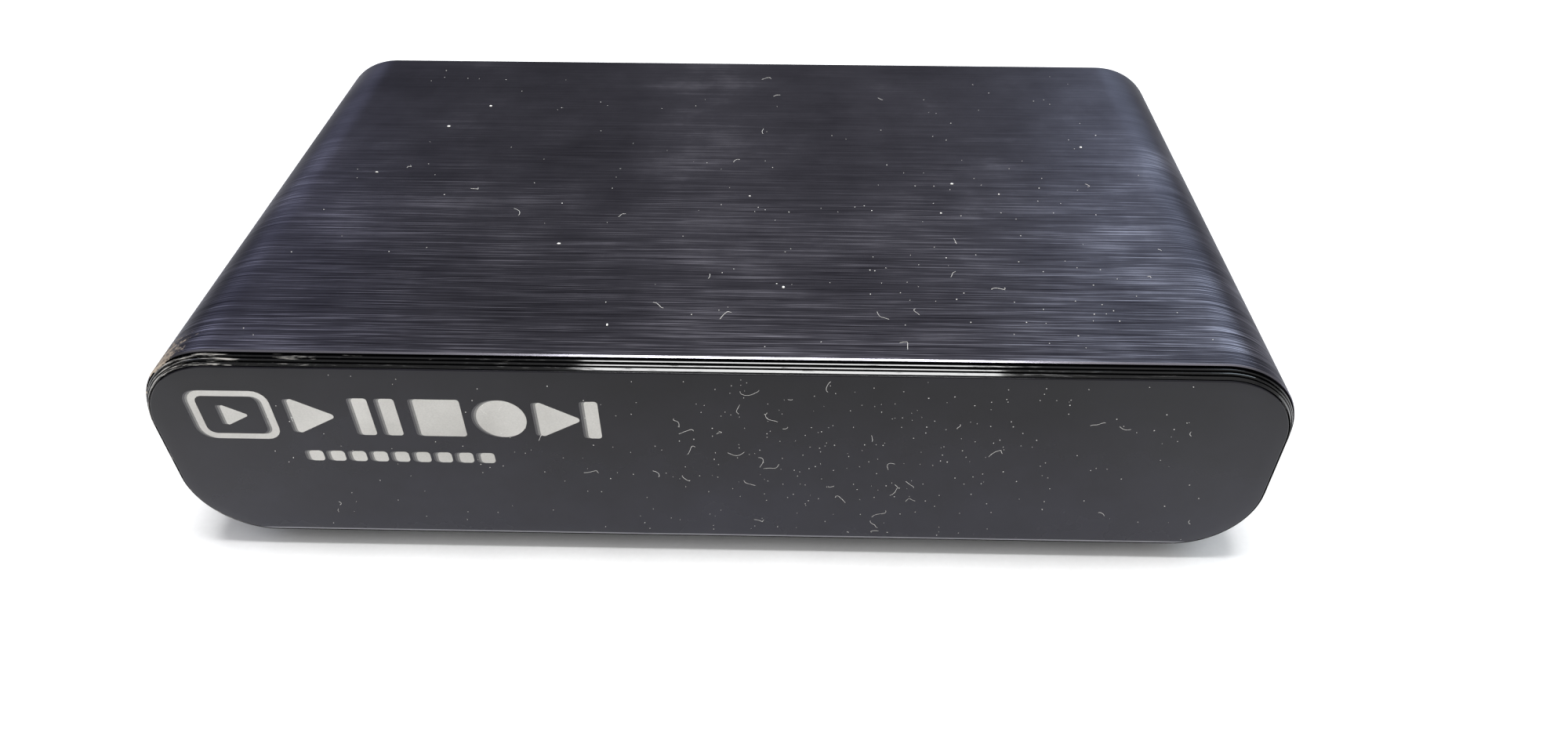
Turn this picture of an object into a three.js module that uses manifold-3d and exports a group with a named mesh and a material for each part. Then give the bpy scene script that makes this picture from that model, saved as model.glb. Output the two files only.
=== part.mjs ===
// A compact television receiver and recorder: an extruded aluminium sleeve, closed by a stepped
// front bezel with a smoked panel and by a rear cover with the sockets, around a circuit board.
// Millimetres. +X is to the right seen from the front, +Y to the rear, +Z up.
import * as THREE from 'three';
import { mergeVertices } from 'three/addons/utils/BufferGeometryUtils.js';
import Module from 'manifold-3d';

const wasm = await Module();
wasm.setup();

// ---- Driving dimensions -------------------------------------------------------------------

// Extruded sleeve
const sleeveWidth = 120;
const sleeveHeight = 26.5;
const sleeveDepth = 66.5;
const sleeveRadius = 9.2;
const sleeveWall = 1.4;

// Screw channels in the four corners of the sleeve
const channelRadius = 2.4;
const channelBore = 1.25;
const channelSink = 0.8;
const channelSlot = 1.1;

// Rails that hold the main board
const boardThickness = 1.6;
const boardHeight = 8.2;
const railThickness = 1.1;
const railReach = 2.0;
const railClearance = 0.2;
const boardSideClearance = 0.4;

// Front bezel and rear cover: fine steps, then a plate that locates in the sleeve
const stepCount = 3;
const stepDepth = 0.4;
const stepInset = 0.2;
const firstInset = 0.3;
const plateThickness = 1.6;
const plateClearance = 0.25;
const skirtDepth = 4.0;
const skirtWall = 1.2;
const pinRadius = 0.95;
const pinLength = 6.0;

// Smoked panel and its tape
const panelInset = 1.0;
const panelGap = 0.1;
const panelThickness = 0.6;
const panelProud = 0.1;
const tapeThickness = 0.1;
const tapeMargin = 1.2;

// Rubber feet and the blank label
const footRadius = 4.5;
const footHeight = 1.6;
const footChamfer = 0.5;
const footEdge = 2.4;
const footEndInset = 9.5;
const labelWidth = 52;
const labelDepth = 30;
const labelThickness = 0.15;

// Rear screws, pan head
const screwShank = 0.95;
const screwLength = 8.0;
const screwHeadRadius = 2.1;
const screwHeadHeight = 1.4;
const screwRimHeight = 0.65;
const screwTopRadius = 1.5;
const screwHoleClearance = 0.4;
const recessWidth = 0.6;
const recessReach = 1.25;
const recessDepth = 0.8;

// Gap round whatever passes through a cover, and gap between neighbours inside
const fitGap = 0.35;
const insideGap = 0.3;
const pressGap = 0.1;

// Main board
const boardFront = 8.5;
const boardRearGap = 0.3;

// Tuner screening can and the two aerial sockets on it
const canMargin = 1.2;
const canDepth = 32;
const canHeight = 12.4;
const canWall = 0.5;
const lidThickness = 0.4;
const lidSkirt = 2.2;
const lidGap = 0.15;
const antennaHeight = 5.3;
const antennaReach = 8.8;
const flangeRadius = 6.9;
const flangeThickness = 0.6;
const socketOuter = 6.4;
const socketBore = 4.8;
const plugOuter = 4.75;
const plugBore = 4.3;
const collarReach = 1.6;
const insulatorLength = 2.6;
const mouthChamfer = 0.3;
const contactRadius = 2.0;
const contactBore = 1.2;
const contactDepth = 8.0;
const contactRecess = 1.0;
const contactTail = 3.0;
const aerialPinRadius = 1.2;
const aerialPinRecess = 0.6;
const pinTipRadius = 0.6;
const pinTaper = 1.0;

// Sockets along the rear edge of the board
const hdmi = { width: 15.0, height: 5.6, depth: 11.5, wall: 0.4, chamfer: 2.0 };
const usb = { width: 13.1, height: 5.7, depth: 13.5, wall: 0.4 };
const avJack = { width: 7.0, height: 6.0, depth: 12.0, nose: 3.0, bore: 1.8, boreDepth: 11 };
const dcJack = { width: 9.0, height: 11.0, depth: 13.0, bore: 3.0, boreDepth: 9.5 };
const dcPinRadius = 1.05;
const dcPinRecess = 1.0;
const dcCoverMargin = 1.0;
const shellRecess = 0.2;
const tongueRecess = 1.6;
const hdmiTongue = { width: 11.0, thickness: 0.9, lift: 0.4 };
const usbTongue = { width: 11.2, thickness: 1.8, drop: 0.5 };
const backBlock = 2.4;

// Display board, upright behind the panel
const displayStandoff = 4.0;
const displayBoardThickness = 1.2;
const displayBoardWidth = 52.0;
const displayBoardHalfHeight = 9.0;
const displayScrewInset = 3.0;
const displayScrewRadius = 0.75;
const displayScrewHead = 1.6;
const displayScrewLength = 3.6;
const displayScrewHeadHeight = 1.0;
const displayScrewTop = 1.3;
const postRadius = 2.0;
const digits = { inset: 31.4, width: 26, height: 10 };
const receiver = { inset: 8.7, width: 5.4, height: 6.4, body: 2.6, dome: 2.2 };
const led = { inset: 14.0, radius: 1.5 };
const frontGap = 0.5;

// Ribbon link between the boards
const header = { width: 15, height: 4.6, depth: 4.4, wall: 0.7, floor: 1.0 };
const plug = { gap: 0.15, inset: 1.2, stand: 1.2 };
const ribbonWidth = 8.0;
const ribbonThickness = 0.9;
const ribbonRadius = 3.2;
const headerRise = 4.2;

// Facets on round pieces
const cornerFacets = 5;
const roundFacets = 32;
const smallFacets = 16;

// ---- Places worked out from the driving dimensions ------------------------------------------

const coverDepth = stepCount * stepDepth;
const halfWidth = sleeveWidth / 2;
const innerHalfWidth = halfWidth - sleeveWall;
const innerRadius = sleeveRadius - sleeveWall;
const cornerX = halfWidth - sleeveRadius;
const channelOffset = (sleeveRadius - sleeveWall - channelRadius + channelSink) * Math.SQRT1_2;
const channelX = cornerX + channelOffset;
const channelBottom = sleeveRadius - channelOffset;
const channelTop = sleeveHeight - channelBottom;
const midHeight = sleeveHeight / 2;
const boardTop = boardHeight + boardThickness;
const boardRear = sleeveDepth - plateThickness - boardRearGap - flangeThickness;
const rearFace = sleeveDepth + coverDepth;
const canRear = boardRear;
const panelFace = -coverDepth - panelProud;
const recessFloor = panelFace + panelThickness + tapeThickness;
const antennaZ = boardTop + antennaHeight;
const antennaTip = rearFace + antennaReach;
const displayFront = plateThickness + displayStandoff;
const displayRear = displayFront + displayBoardThickness;
const channelFace = channelX - channelRadius;
const displayBoardRight = channelFace - insideGap;
const displayBoardLeft = displayBoardRight - displayBoardWidth;
const displayScrewXs = [
  displayBoardLeft + displayScrewInset,
  displayBoardRight - displayScrewInset,
];
const digitsX = displayBoardRight - digits.inset;
const receiverX = displayBoardRight - receiver.inset;
const ledX = displayBoardRight - led.inset;
const headerX = digitsX;
const bodyRear = sleeveDepth - plateThickness - insideGap;
const corners = [
  { name: 'left_bottom', x: -channelX, z: channelBottom },
  { name: 'right_bottom', x: channelX, z: channelBottom },
  { name: 'left_top', x: -channelX, z: channelTop },
  { name: 'right_top', x: channelX, z: channelTop },
];

// Half the room inside the sleeve at a height, less where the round corners take some of it.
function innerHalfWidthAt(z) {
  const below = Math.max(sleeveRadius - z, 0);
  const above = Math.max(z - (sleeveHeight - sleeveRadius), 0);
  const rise = Math.max(below, above);
  return cornerX + Math.sqrt(innerRadius ** 2 - rise ** 2);
}

const boardRoom = Math.min(innerHalfWidthAt(boardHeight), innerHalfWidthAt(boardTop));
const boardHalf = boardRoom - boardSideClearance;

// The sockets stand between the screw channels, from left to right, with equal gaps.
const socketWidths = [
  dcJack.width,
  avJack.width,
  usb.width,
  hdmi.width,
  2 * flangeRadius,
  2 * flangeRadius,
];
const socketRoom = 2 * channelFace - socketWidths.reduce((sum, width) => sum + width, 0);
const socketGap = socketRoom / (socketWidths.length + 1);
const socketXs = [];
let socketLeft = -channelFace + socketGap;
for (const width of socketWidths) {
  socketXs.push(socketLeft + width / 2);
  socketLeft += width + socketGap;
}
const [dcX, avX, usbX, hdmiX, antennaOutX, antennaInX] = socketXs;

// The sleeve's underside is at z = 0 here. This group raises it onto the feet and centres the
// whole depth, from the panel's face to the tips of the aerial sockets, on the origin.
const receiverBox = new THREE.Group();
receiverBox.name = 'receiver_box';
receiverBox.position.set(0, -(panelFace + antennaTip) / 2, footHeight);

// ---- Shape helpers ----------------------------------------------------------------------

// A rounded rectangle, drawn in the plane that becomes X across and Z up.
function roundedOutline(width, height, radius, x, z) {
  const outline = new THREE.Shape();
  const r = Math.min(radius, width / 2, height / 2);
  const left = x - width / 2;
  const right = x + width / 2;
  const bottom = z - height / 2;
  const top = z + height / 2;
  outline.moveTo(left + r, bottom);
  outline.lineTo(right - r, bottom);
  outline.absarc(right - r, bottom + r, r, -Math.PI / 2, 0, false);
  outline.lineTo(right, top - r);
  outline.absarc(right - r, top - r, r, 0, Math.PI / 2, false);
  outline.lineTo(left + r, top);
  outline.absarc(left + r, top - r, r, Math.PI / 2, Math.PI, false);
  outline.lineTo(left, bottom + r);
  outline.absarc(left + r, bottom + r, r, Math.PI, Math.PI * 1.5, false);
  return outline;
}

// The sleeve's own section, taken in by a distance all round.
function sectionOutline(inset) {
  const width = sleeveWidth - 2 * inset;
  const height = sleeveHeight - 2 * inset;
  return roundedOutline(width, height, Math.max(sleeveRadius - inset, 0.5), 0, midHeight);
}

// An outline across X and Z, drawn out along Y from one depth to another.
function alongY(outline, from, to, facets = cornerFacets) {
  const geometry = new THREE.ExtrudeGeometry(outline, {
    depth: to - from,
    bevelEnabled: false,
    curveSegments: facets,
  });
  geometry.rotateX(Math.PI / 2);
  geometry.translate(0, to, 0);
  return geometry;
}

// An outline across Y and Z, drawn out along X and centred on a place across.
function alongX(outline, width, x) {
  const geometry = new THREE.ExtrudeGeometry(outline, {
    depth: width,
    bevelEnabled: false,
    curveSegments: cornerFacets,
  });
  geometry.rotateX(Math.PI / 2);
  geometry.rotateZ(Math.PI / 2);
  geometry.translate(x - width / 2, 0, 0);
  return geometry;
}

// A plain block from its two corners.
function block(x0, x1, y0, y1, z0, z1) {
  const geometry = new THREE.BoxGeometry(x1 - x0, y1 - y0, z1 - z0);
  geometry.translate((x0 + x1) / 2, (y0 + y1) / 2, (z0 + z1) / 2);
  return geometry;
}

// A round bar along Y.
function barY(radius, from, to, x, z, facets = roundFacets) {
  const geometry = new THREE.CylinderGeometry(radius, radius, to - from, facets);
  geometry.translate(x, (from + to) / 2, z);
  return geometry;
}

// A profile of [radius, place along the axis] turned about a Y axis.
function turnedY(profile, x, z, facets = roundFacets) {
  const points = profile.map(([radius, along]) => new THREE.Vector2(radius, along));
  const geometry = new THREE.LatheGeometry(points, facets);
  geometry.translate(x, 0, z);
  return geometry;
}

// A profile of [radius, height] turned about a Z axis.
function turnedZ(profile, x, y, facets = roundFacets) {
  const points = profile.map(([radius, height]) => new THREE.Vector2(radius, height));
  const geometry = new THREE.LatheGeometry(points, facets);
  geometry.rotateX(Math.PI / 2);
  geometry.translate(x, y, 0);
  return geometry;
}

function solid(geometry) {
  const bare = geometry.index ? geometry.toNonIndexed() : geometry.clone();
  bare.deleteAttribute('normal');
  bare.deleteAttribute('uv');
  const merged = mergeVertices(bare, 1e-4);
  return new wasm.Manifold(new wasm.Mesh({
    numProp: 3,
    vertProperties: merged.attributes.position.array,
    triVerts: new Uint32Array(merged.index.array),
  }));
}

function geometryOf(manifold) {
  const mesh = manifold.getMesh();
  const geometry = new THREE.BufferGeometry();
  geometry.setAttribute('position', new THREE.BufferAttribute(mesh.vertProperties, mesh.numProp));
  geometry.setIndex(new THREE.BufferAttribute(mesh.triVerts, 1));
  geometry.computeVertexNormals();
  return geometry;
}

// The first shape, joined with the added ones and then cut by the removed ones.
function shaped(base, added, removed) {
  let result = solid(base);
  for (const geometry of added) {
    result = result.add(solid(geometry));
  }
  for (const geometry of removed) {
    result = result.subtract(solid(geometry));
  }
  return geometryOf(result);
}

function place(name, geometry, look) {
  const mesh = new THREE.Mesh(geometry, new THREE.MeshStandardMaterial(look));
  mesh.name = name;
  receiverBox.add(mesh);
  return mesh;
}

// ---- Looks --------------------------------------------------------------------------------

const looks = {
  anodised: { color: 0x34323a, roughness: 0.38, metalness: 1.0 },
  glossBlack: { color: 0x0c0c0e, roughness: 0.12, metalness: 0.0 },
  smoked: { color: 0x2c2c30, roughness: 0.16, metalness: 0.0 },
  tape: { color: 0x1a1a1a, roughness: 0.9, metalness: 0.0 },
  rubber: { color: 0x161616, roughness: 0.85, metalness: 0.0 },
  label: { color: 0xb9b9b6, roughness: 0.6, metalness: 0.0 },
  blackSteel: { color: 0x17171a, roughness: 0.4, metalness: 1.0 },
  board: { color: 0x1e5a38, roughness: 0.5, metalness: 0.0 },
  tin: { color: 0xb8bab8, roughness: 0.35, metalness: 1.0 },
  nickel: { color: 0xc6c4be, roughness: 0.22, metalness: 1.0 },
  gold: { color: 0xd2a54a, roughness: 0.25, metalness: 1.0 },
  insulator: { color: 0xe6e4dc, roughness: 0.6, metalness: 0.0 },
  blackPlastic: { color: 0x121214, roughness: 0.55, metalness: 0.0 },
  whitePlastic: { color: 0xe2dfd4, roughness: 0.5, metalness: 0.0 },
  heatsink: { color: 0x202124, roughness: 0.5, metalness: 1.0 },
  pad: { color: 0x8fa7b4, roughness: 0.9, metalness: 0.0 },
  chip: { color: 0x1a1b1d, roughness: 0.6, metalness: 0.0 },
  capacitor: { color: 0x20242e, roughness: 0.4, metalness: 0.0 },
  ferrite: { color: 0x3a3a3c, roughness: 0.8, metalness: 0.0 },
  lens: { color: 0x2a1416, roughness: 0.12, metalness: 0.0 },
  ledLens: { color: 0xb02018, roughness: 0.15, metalness: 0.0 },
  ribbon: { color: 0x9a9a98, roughness: 0.6, metalness: 0.0 },
};

// ---- Sleeve -------------------------------------------------------------------------------

// The slot through which the die reaches each screw channel faces the middle of the section.
function channelSlotCut(corner) {
  const length = channelRadius * 2;
  const cut = new THREE.BoxGeometry(length, sleeveDepth + 2, channelSlot);
  cut.translate(length / 2, 0, 0);
  const inwardX = -Math.sign(corner.x);
  const inwardZ = Math.sign(midHeight - corner.z);
  cut.rotateY(-Math.atan2(inwardZ, inwardX));
  cut.translate(corner.x, sleeveDepth / 2, corner.z);
  return cut;
}

function makeSleeve() {
  const rails = [];
  for (const side of [-1, 1]) {
    const wallX = side * (innerHalfWidth + sleeveWall / 2);
    const reachX = side * (innerHalfWidth - railReach);
    const x0 = Math.min(wallX, reachX);
    const x1 = Math.max(wallX, reachX);
    const under = boardHeight - railClearance;
    const over = boardTop + railClearance;
    rails.push(block(x0, x1, 0, sleeveDepth, under - railThickness, under));
    rails.push(block(x0, x1, 0, sleeveDepth, over, over + railThickness));
  }
  const bosses = corners.map((c) => barY(channelRadius, 0, sleeveDepth, c.x, c.z, smallFacets));
  const bores = corners.map((c) => barY(channelBore, -1, sleeveDepth + 1, c.x, c.z, smallFacets));
  const slots = corners.map((c) => channelSlotCut(c));
  const tube = sectionOutline(0);
  tube.holes.push(sectionOutline(sleeveWall));
  return shaped(alongY(tube, 0, sleeveDepth), [...rails, ...bosses], [...bores, ...slots]);
}

place('sleeve', makeSleeve(), looks.anodised);

// ---- Front bezel and rear cover -------------------------------------------------------------

// What the locating plate of either cover has to clear: the screw channels and the rails.
function sleeveRelief(from, to) {
  const cuts = corners.map((c) => {
    const radius = channelRadius + plateClearance;
    return barY(radius, from - 1, to + 1, c.x, c.z, smallFacets);
  });
  const low = boardHeight - railClearance - railThickness - plateClearance;
  const high = boardTop + railClearance + railThickness + plateClearance;
  const reach = innerHalfWidth - railReach - plateClearance;
  cuts.push(block(-halfWidth, -reach, from - 1, to + 1, low, high));
  cuts.push(block(reach, halfWidth, from - 1, to + 1, low, high));
  return cuts;
}

// The stepped flange: each step is a little smaller and further from the sleeve than the last.
function steppedFlange(face, outward) {
  const steps = [];
  for (let i = 0; i < stepCount; i += 1) {
    const inset = firstInset + i * stepInset;
    const end = face + outward * stepDepth * (i + 1);
    steps.push(alongY(sectionOutline(inset), Math.min(face, end), Math.max(face, end)));
  }
  return steps;
}

// Openings in the bezel for the digits, the infrared receiver and the power light.
function displayWindows(from, to, gap) {
  const z0 = midHeight - digits.height / 2 - gap;
  const z1 = midHeight + digits.height / 2 + gap;
  const x0 = digitsX - digits.width / 2 - gap;
  const x1 = digitsX + digits.width / 2 + gap;
  return [
    block(x0, x1, from, to, z0, z1),
    barY(receiver.dome + gap, from, to, receiverX, midHeight, smallFacets),
    barY(led.radius + gap, from, to, ledX, midHeight, smallFacets),
  ];
}

function makeFrontBezel() {
  const plateEnd = plateThickness;
  const skirtEnd = plateEnd + skirtDepth;
  const inner = sleeveWall + plateClearance;
  const skirt = sectionOutline(inner);
  skirt.holes.push(sectionOutline(inner + skirtWall));
  const plate = shaped(
    alongY(sectionOutline(inner), 0, plateEnd),
    [alongY(skirt, plateEnd, skirtEnd)],
    sleeveRelief(0, skirtEnd),
  );
  const [firstStep, ...otherSteps] = steppedFlange(0, -1);
  const pins = corners.map((c) => {
    return barY(pinRadius, -stepDepth / 2, pinLength, c.x, c.z, smallFacets);
  });
  const posts = displayScrewXs.map((x) => {
    return barY(postRadius, 0, displayFront, x, midHeight, smallFacets);
  });
  const pilots = displayScrewXs.map((x) => {
    const start = displayRear - displayScrewLength - insideGap;
    return barY(displayScrewRadius + pressGap, start, displayFront + 1, x, midHeight, smallFacets);
  });
  const recess = alongY(sectionOutline(panelInset - panelGap), -coverDepth - 1, recessFloor);
  return shaped(
    firstStep,
    [...otherSteps, plate, ...pins, ...posts],
    [recess, ...displayWindows(recessFloor - 1, plateEnd + 1, fitGap), ...pilots],
  );
}

function makeRearCover() {
  const plateStart = sleeveDepth - plateThickness;
  const inner = sleeveWall + plateClearance;
  const plate = shaped(
    alongY(sectionOutline(inner), plateStart, sleeveDepth),
    [],
    sleeveRelief(plateStart, sleeveDepth),
  );
  const [firstStep, ...otherSteps] = steppedFlange(sleeveDepth, 1);
  const from = plateStart - 1;
  const to = rearFace + 1;
  const screwHoles = corners.map((c) => {
    return barY(screwShank + screwHoleClearance, from, to, c.x, c.z, smallFacets);
  });
  const socketHoles = [
    barY(socketOuter + fitGap, from, to, antennaInX, antennaZ),
    barY(socketOuter + fitGap, from, to, antennaOutX, antennaZ),
    barY(avJack.nose + fitGap, from, to, avX, boardTop + avJack.height / 2, smallFacets),
    barY(dcJack.bore + dcCoverMargin, from, to, dcX, boardTop + dcJack.height / 2, smallFacets),
  ];
  for (const [shell, x] of [[hdmi, hdmiX], [usb, usbX]]) {
    const half = shell.width / 2 + fitGap;
    const low = boardTop - fitGap;
    const high = boardTop + shell.height + fitGap;
    socketHoles.push(block(x - half, x + half, from, to, low, high));
  }
  return shaped(firstStep, [...otherSteps, plate], [...screwHoles, ...socketHoles]);
}

// A pan-head screw along Y, with a cross recess in its head.
function makeRearScrew(corner) {
  const head = rearFace + screwHeadHeight;
  const end = rearFace - screwLength;
  const profile = [
    [0, end],
    [screwShank, end],
    [screwShank, rearFace],
    [screwHeadRadius, rearFace],
    [screwHeadRadius, rearFace + screwRimHeight],
    [screwTopRadius, head],
    [0, head],
  ];
  const half = recessWidth / 2;
  const reach = recessReach;
  const floor = head - recessDepth;
  const cross = [
    block(corner.x - reach, corner.x + reach, floor, head + 1, corner.z - half, corner.z + half),
    block(corner.x - half, corner.x + half, floor, head + 1, corner.z - reach, corner.z + reach),
  ];
  return shaped(turnedY(profile, corner.x, corner.z, smallFacets), [], cross);
}

place('front_bezel', makeFrontBezel(), looks.glossBlack);
place('rear_cover', makeRearCover(), looks.blackPlastic);
for (const corner of corners) {
  place(`rear_screw_${corner.name}`, makeRearScrew(corner), looks.blackSteel);
}

// ---- Smoked panel and tape ------------------------------------------------------------------

const panelOutline = sectionOutline(panelInset);
place('front_panel', alongY(panelOutline, panelFace, panelFace + panelThickness), looks.smoked);

const tapeOutline = sectionOutline(panelInset + tapeMargin);
const tapeSheet = alongY(tapeOutline, recessFloor - tapeThickness, recessFloor);
const tapeCuts = displayWindows(recessFloor - 1, recessFloor + 1, fitGap + insideGap);
place('panel_tape', shaped(tapeSheet, [], tapeCuts), looks.tape);

// ---- Feet and label -------------------------------------------------------------------------

function makeFoot(x, y) {
  const profile = [
    [0, -footHeight],
    [footRadius - footChamfer, -footHeight],
    [footRadius, -footHeight + footChamfer],
    [footRadius, 0],
    [0, 0],
  ];
  return turnedZ(profile, x, y, roundFacets);
}

const footX = cornerX - footRadius - footEdge;
const footYs = { front: footEndInset, rear: sleeveDepth - footEndInset };
for (const [end, y] of Object.entries(footYs)) {
  place(`foot_${end}_left`, makeFoot(-footX, y), looks.rubber);
  place(`foot_${end}_right`, makeFoot(footX, y), looks.rubber);
}

const labelY = sleeveDepth / 2;
const labelSheet = block(
  -labelWidth / 2,
  labelWidth / 2,
  labelY - labelDepth / 2,
  labelY + labelDepth / 2,
  -labelThickness,
  0,
);
place('base_label', labelSheet, looks.label);

// ---- Main board -----------------------------------------------------------------------------

const boardSheet = block(-boardHalf, boardHalf, boardFront, boardRear, boardHeight, boardTop);
place('main_board', boardSheet, looks.board);

// ---- Tuner can, lid and aerial sockets --------------------------------------------------------

const canX = (antennaInX + antennaOutX) / 2;
const canWidth = antennaInX - antennaOutX + 2 * (flangeRadius + canMargin);
const canTop = boardTop + canHeight;
const canFront = canRear - canDepth;

function makeTunerCan() {
  const outer = block(canX - canWidth / 2, canX + canWidth / 2, canFront, canRear, boardTop, canTop);
  const x0 = canX - canWidth / 2 + canWall;
  const x1 = canX + canWidth / 2 - canWall;
  const y0 = canFront + canWall;
  const y1 = canRear - canWall;
  const hollow = block(x0, x1, y0, y1, boardTop - 1, canTop + 1);
  const ports = [antennaInX, antennaOutX].map((x) => {
    return barY(contactRadius + insideGap, canRear - 1, canRear + 1, x, antennaZ, smallFacets);
  });
  return shaped(outer, [], [hollow, ...ports]);
}

// The lid is a shallow tray over the can, with its skirt outside the front and side walls.
function makeTunerLid() {
  const grow = lidGap + lidThickness;
  const x0 = canX - canWidth / 2;
  const x1 = canX + canWidth / 2;
  const top = canTop + lidThickness;
  const outer = block(x0 - grow, x1 + grow, canFront - grow, canRear, canTop - lidSkirt, top);
  const hollowFront = canFront - lidGap;
  const hollowLow = canTop - 2 * lidSkirt;
  const inner = block(x0 - lidGap, x1 + lidGap, hollowFront, canRear + 1, hollowLow, canTop);
  return shaped(outer, [], [inner]);
}

// Female socket: a wide tube on a flange, with an annular space round the centre contact.
function makeAntennaInShell() {
  const flangeEnd = canRear + flangeThickness;
  const bore = contactRadius + 2 * insideGap;
  return turnedY([
    [bore, canRear],
    [flangeRadius, canRear],
    [flangeRadius, flangeEnd],
    [socketOuter, flangeEnd],
    [socketOuter, antennaTip - mouthChamfer],
    [socketOuter - mouthChamfer, antennaTip],
    [socketBore, antennaTip],
    [socketBore, flangeEnd],
    [bore, flangeEnd],
    [bore, canRear],
  ], antennaInX, antennaZ);
}

// Male socket: a collar on a flange, then a thin tube round the pin.
function makeAntennaOutShell() {
  const flangeEnd = canRear + flangeThickness;
  const collarEnd = rearFace + collarReach;
  const bore = contactRadius + 2 * insideGap;
  return turnedY([
    [bore, canRear],
    [flangeRadius, canRear],
    [flangeRadius, flangeEnd],
    [socketOuter, flangeEnd],
    [socketOuter, collarEnd],
    [plugOuter, collarEnd],
    [plugOuter, antennaTip],
    [plugBore, antennaTip],
    [plugBore, flangeEnd],
    [bore, flangeEnd],
    [bore, canRear],
  ], antennaOutX, antennaZ);
}

function makeInsulator(x, shellBore, holeRadius) {
  const start = canRear + flangeThickness;
  const end = start + insulatorLength;
  const outer = shellBore - pressGap;
  const hole = holeRadius + pressGap;
  return turnedY([
    [hole, start],
    [outer, start],
    [outer, end],
    [hole, end],
    [hole, start],
  ], x, antennaZ, smallFacets);
}

function makeAntennaContact() {
  const tip = antennaTip - contactRecess;
  const mouth = tip - contactDepth;
  const start = canRear - canWall - contactTail;
  return turnedY([
    [0, start],
    [contactRadius, start],
    [contactRadius, tip],
    [contactBore, tip],
    [contactBore, mouth],
    [0, mouth],
  ], antennaInX, antennaZ, smallFacets);
}

function makeAntennaPin() {
  const tip = antennaTip - aerialPinRecess;
  const start = canRear - canWall - contactTail;
  return turnedY([
    [0, start],
    [aerialPinRadius, start],
    [aerialPinRadius, tip - pinTaper],
    [pinTipRadius, tip],
    [0, tip],
  ], antennaOutX, antennaZ, smallFacets);
}

place('tuner_can', makeTunerCan(), looks.tin);
place('tuner_lid', makeTunerLid(), looks.tin);
place('antenna_in_shell', makeAntennaInShell(), looks.nickel);
place('antenna_in_insulator', makeInsulator(antennaInX, socketBore, contactRadius), looks.insulator);
place('antenna_in_contact', makeAntennaContact(), looks.gold);
place('antenna_out_shell', makeAntennaOutShell(), looks.nickel);
place('antenna_out_insulator', makeInsulator(antennaOutX, plugBore, aerialPinRadius), looks.insulator);
place('antenna_out_pin', makeAntennaPin(), looks.nickel);

// ---- Sockets on the rear edge of the board ------------------------------------------------------

const shellMouth = rearFace - shellRecess;

// The shell's section stands on the board, with its two lower corners cut off.
function hdmiOutline(inset) {
  const half = hdmi.width / 2 - inset;
  const low = boardTop + inset;
  const high = boardTop + hdmi.height - inset;
  const cut = hdmi.chamfer - inset * (2 - Math.SQRT2);
  const outline = new THREE.Shape();
  outline.moveTo(hdmiX - half + cut, low);
  outline.lineTo(hdmiX + half - cut, low);
  outline.lineTo(hdmiX + half, low + cut);
  outline.lineTo(hdmiX + half, high);
  outline.lineTo(hdmiX - half, high);
  outline.lineTo(hdmiX - half, low + cut);
  return outline;
}

function makeHdmiShell() {
  const back = shellMouth - hdmi.depth;
  const hollow = alongY(hdmiOutline(hdmi.wall), back + hdmi.wall, shellMouth + 1);
  return shaped(alongY(hdmiOutline(0), back, shellMouth), [], [hollow]);
}

function makeUsbShell() {
  const back = shellMouth - usb.depth;
  const z1 = boardTop + usb.height;
  const outer = block(usbX - usb.width / 2, usbX + usb.width / 2, back, shellMouth, boardTop, z1);
  const x0 = usbX - usb.width / 2 + usb.wall;
  const x1 = usbX + usb.width / 2 - usb.wall;
  const y0 = back + usb.wall;
  const hollow = block(x0, x1, y0, shellMouth + 1, boardTop + usb.wall, z1 - usb.wall);
  return shaped(outer, [], [hollow]);
}

// A moulded block fills the back of a shell and carries the tongue with the contacts.
function makeTongue(shell, x, tongue, tongueTop) {
  const start = shellMouth - shell.depth + shell.wall + pressGap;
  const inside = shell.wall + pressGap;
  const cut = shell.chamfer ? shell.chamfer : 0;
  const base = block(
    x - shell.width / 2 + inside + cut,
    x + shell.width / 2 - inside - cut,
    start,
    start + backBlock,
    boardTop + inside,
    boardTop + shell.height - inside,
  );
  const blade = block(
    x - tongue.width / 2,
    x + tongue.width / 2,
    start,
    shellMouth - tongueRecess,
    tongueTop - tongue.thickness,
    tongueTop,
  );
  return shaped(base, [blade], []);
}

function makeAvJack() {
  const z = boardTop + avJack.height / 2;
  const back = bodyRear - avJack.depth;
  const half = avJack.width / 2;
  const top = boardTop + avJack.height;
  const boreEnd = shellMouth - avJack.boreDepth;
  const body = block(avX - half, avX + half, back, bodyRear, boardTop, top);
  const nose = barY(avJack.nose, bodyRear - 1, shellMouth, avX, z, smallFacets);
  const bore = barY(avJack.bore, boreEnd, shellMouth + 1, avX, z, smallFacets);
  return shaped(body, [nose], [bore]);
}

function makeDcJack() {
  const z = boardTop + dcJack.height / 2;
  const back = bodyRear - dcJack.depth;
  const half = dcJack.width / 2;
  const top = boardTop + dcJack.height;
  const boreEnd = bodyRear - dcJack.boreDepth;
  const body = block(dcX - half, dcX + half, back, bodyRear, boardTop, top);
  const bore = barY(dcJack.bore, boreEnd, bodyRear + 1, dcX, z, smallFacets);
  return shaped(body, [], [bore]);
}

function makeDcPin() {
  const z = boardTop + dcJack.height / 2;
  const start = bodyRear - dcJack.boreDepth;
  const tip = bodyRear - dcPinRecess;
  return turnedY([
    [0, start],
    [dcPinRadius, start],
    [dcPinRadius, tip - pinTaper],
    [pinTipRadius, tip],
    [0, tip],
  ], dcX, z, smallFacets);
}

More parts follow.
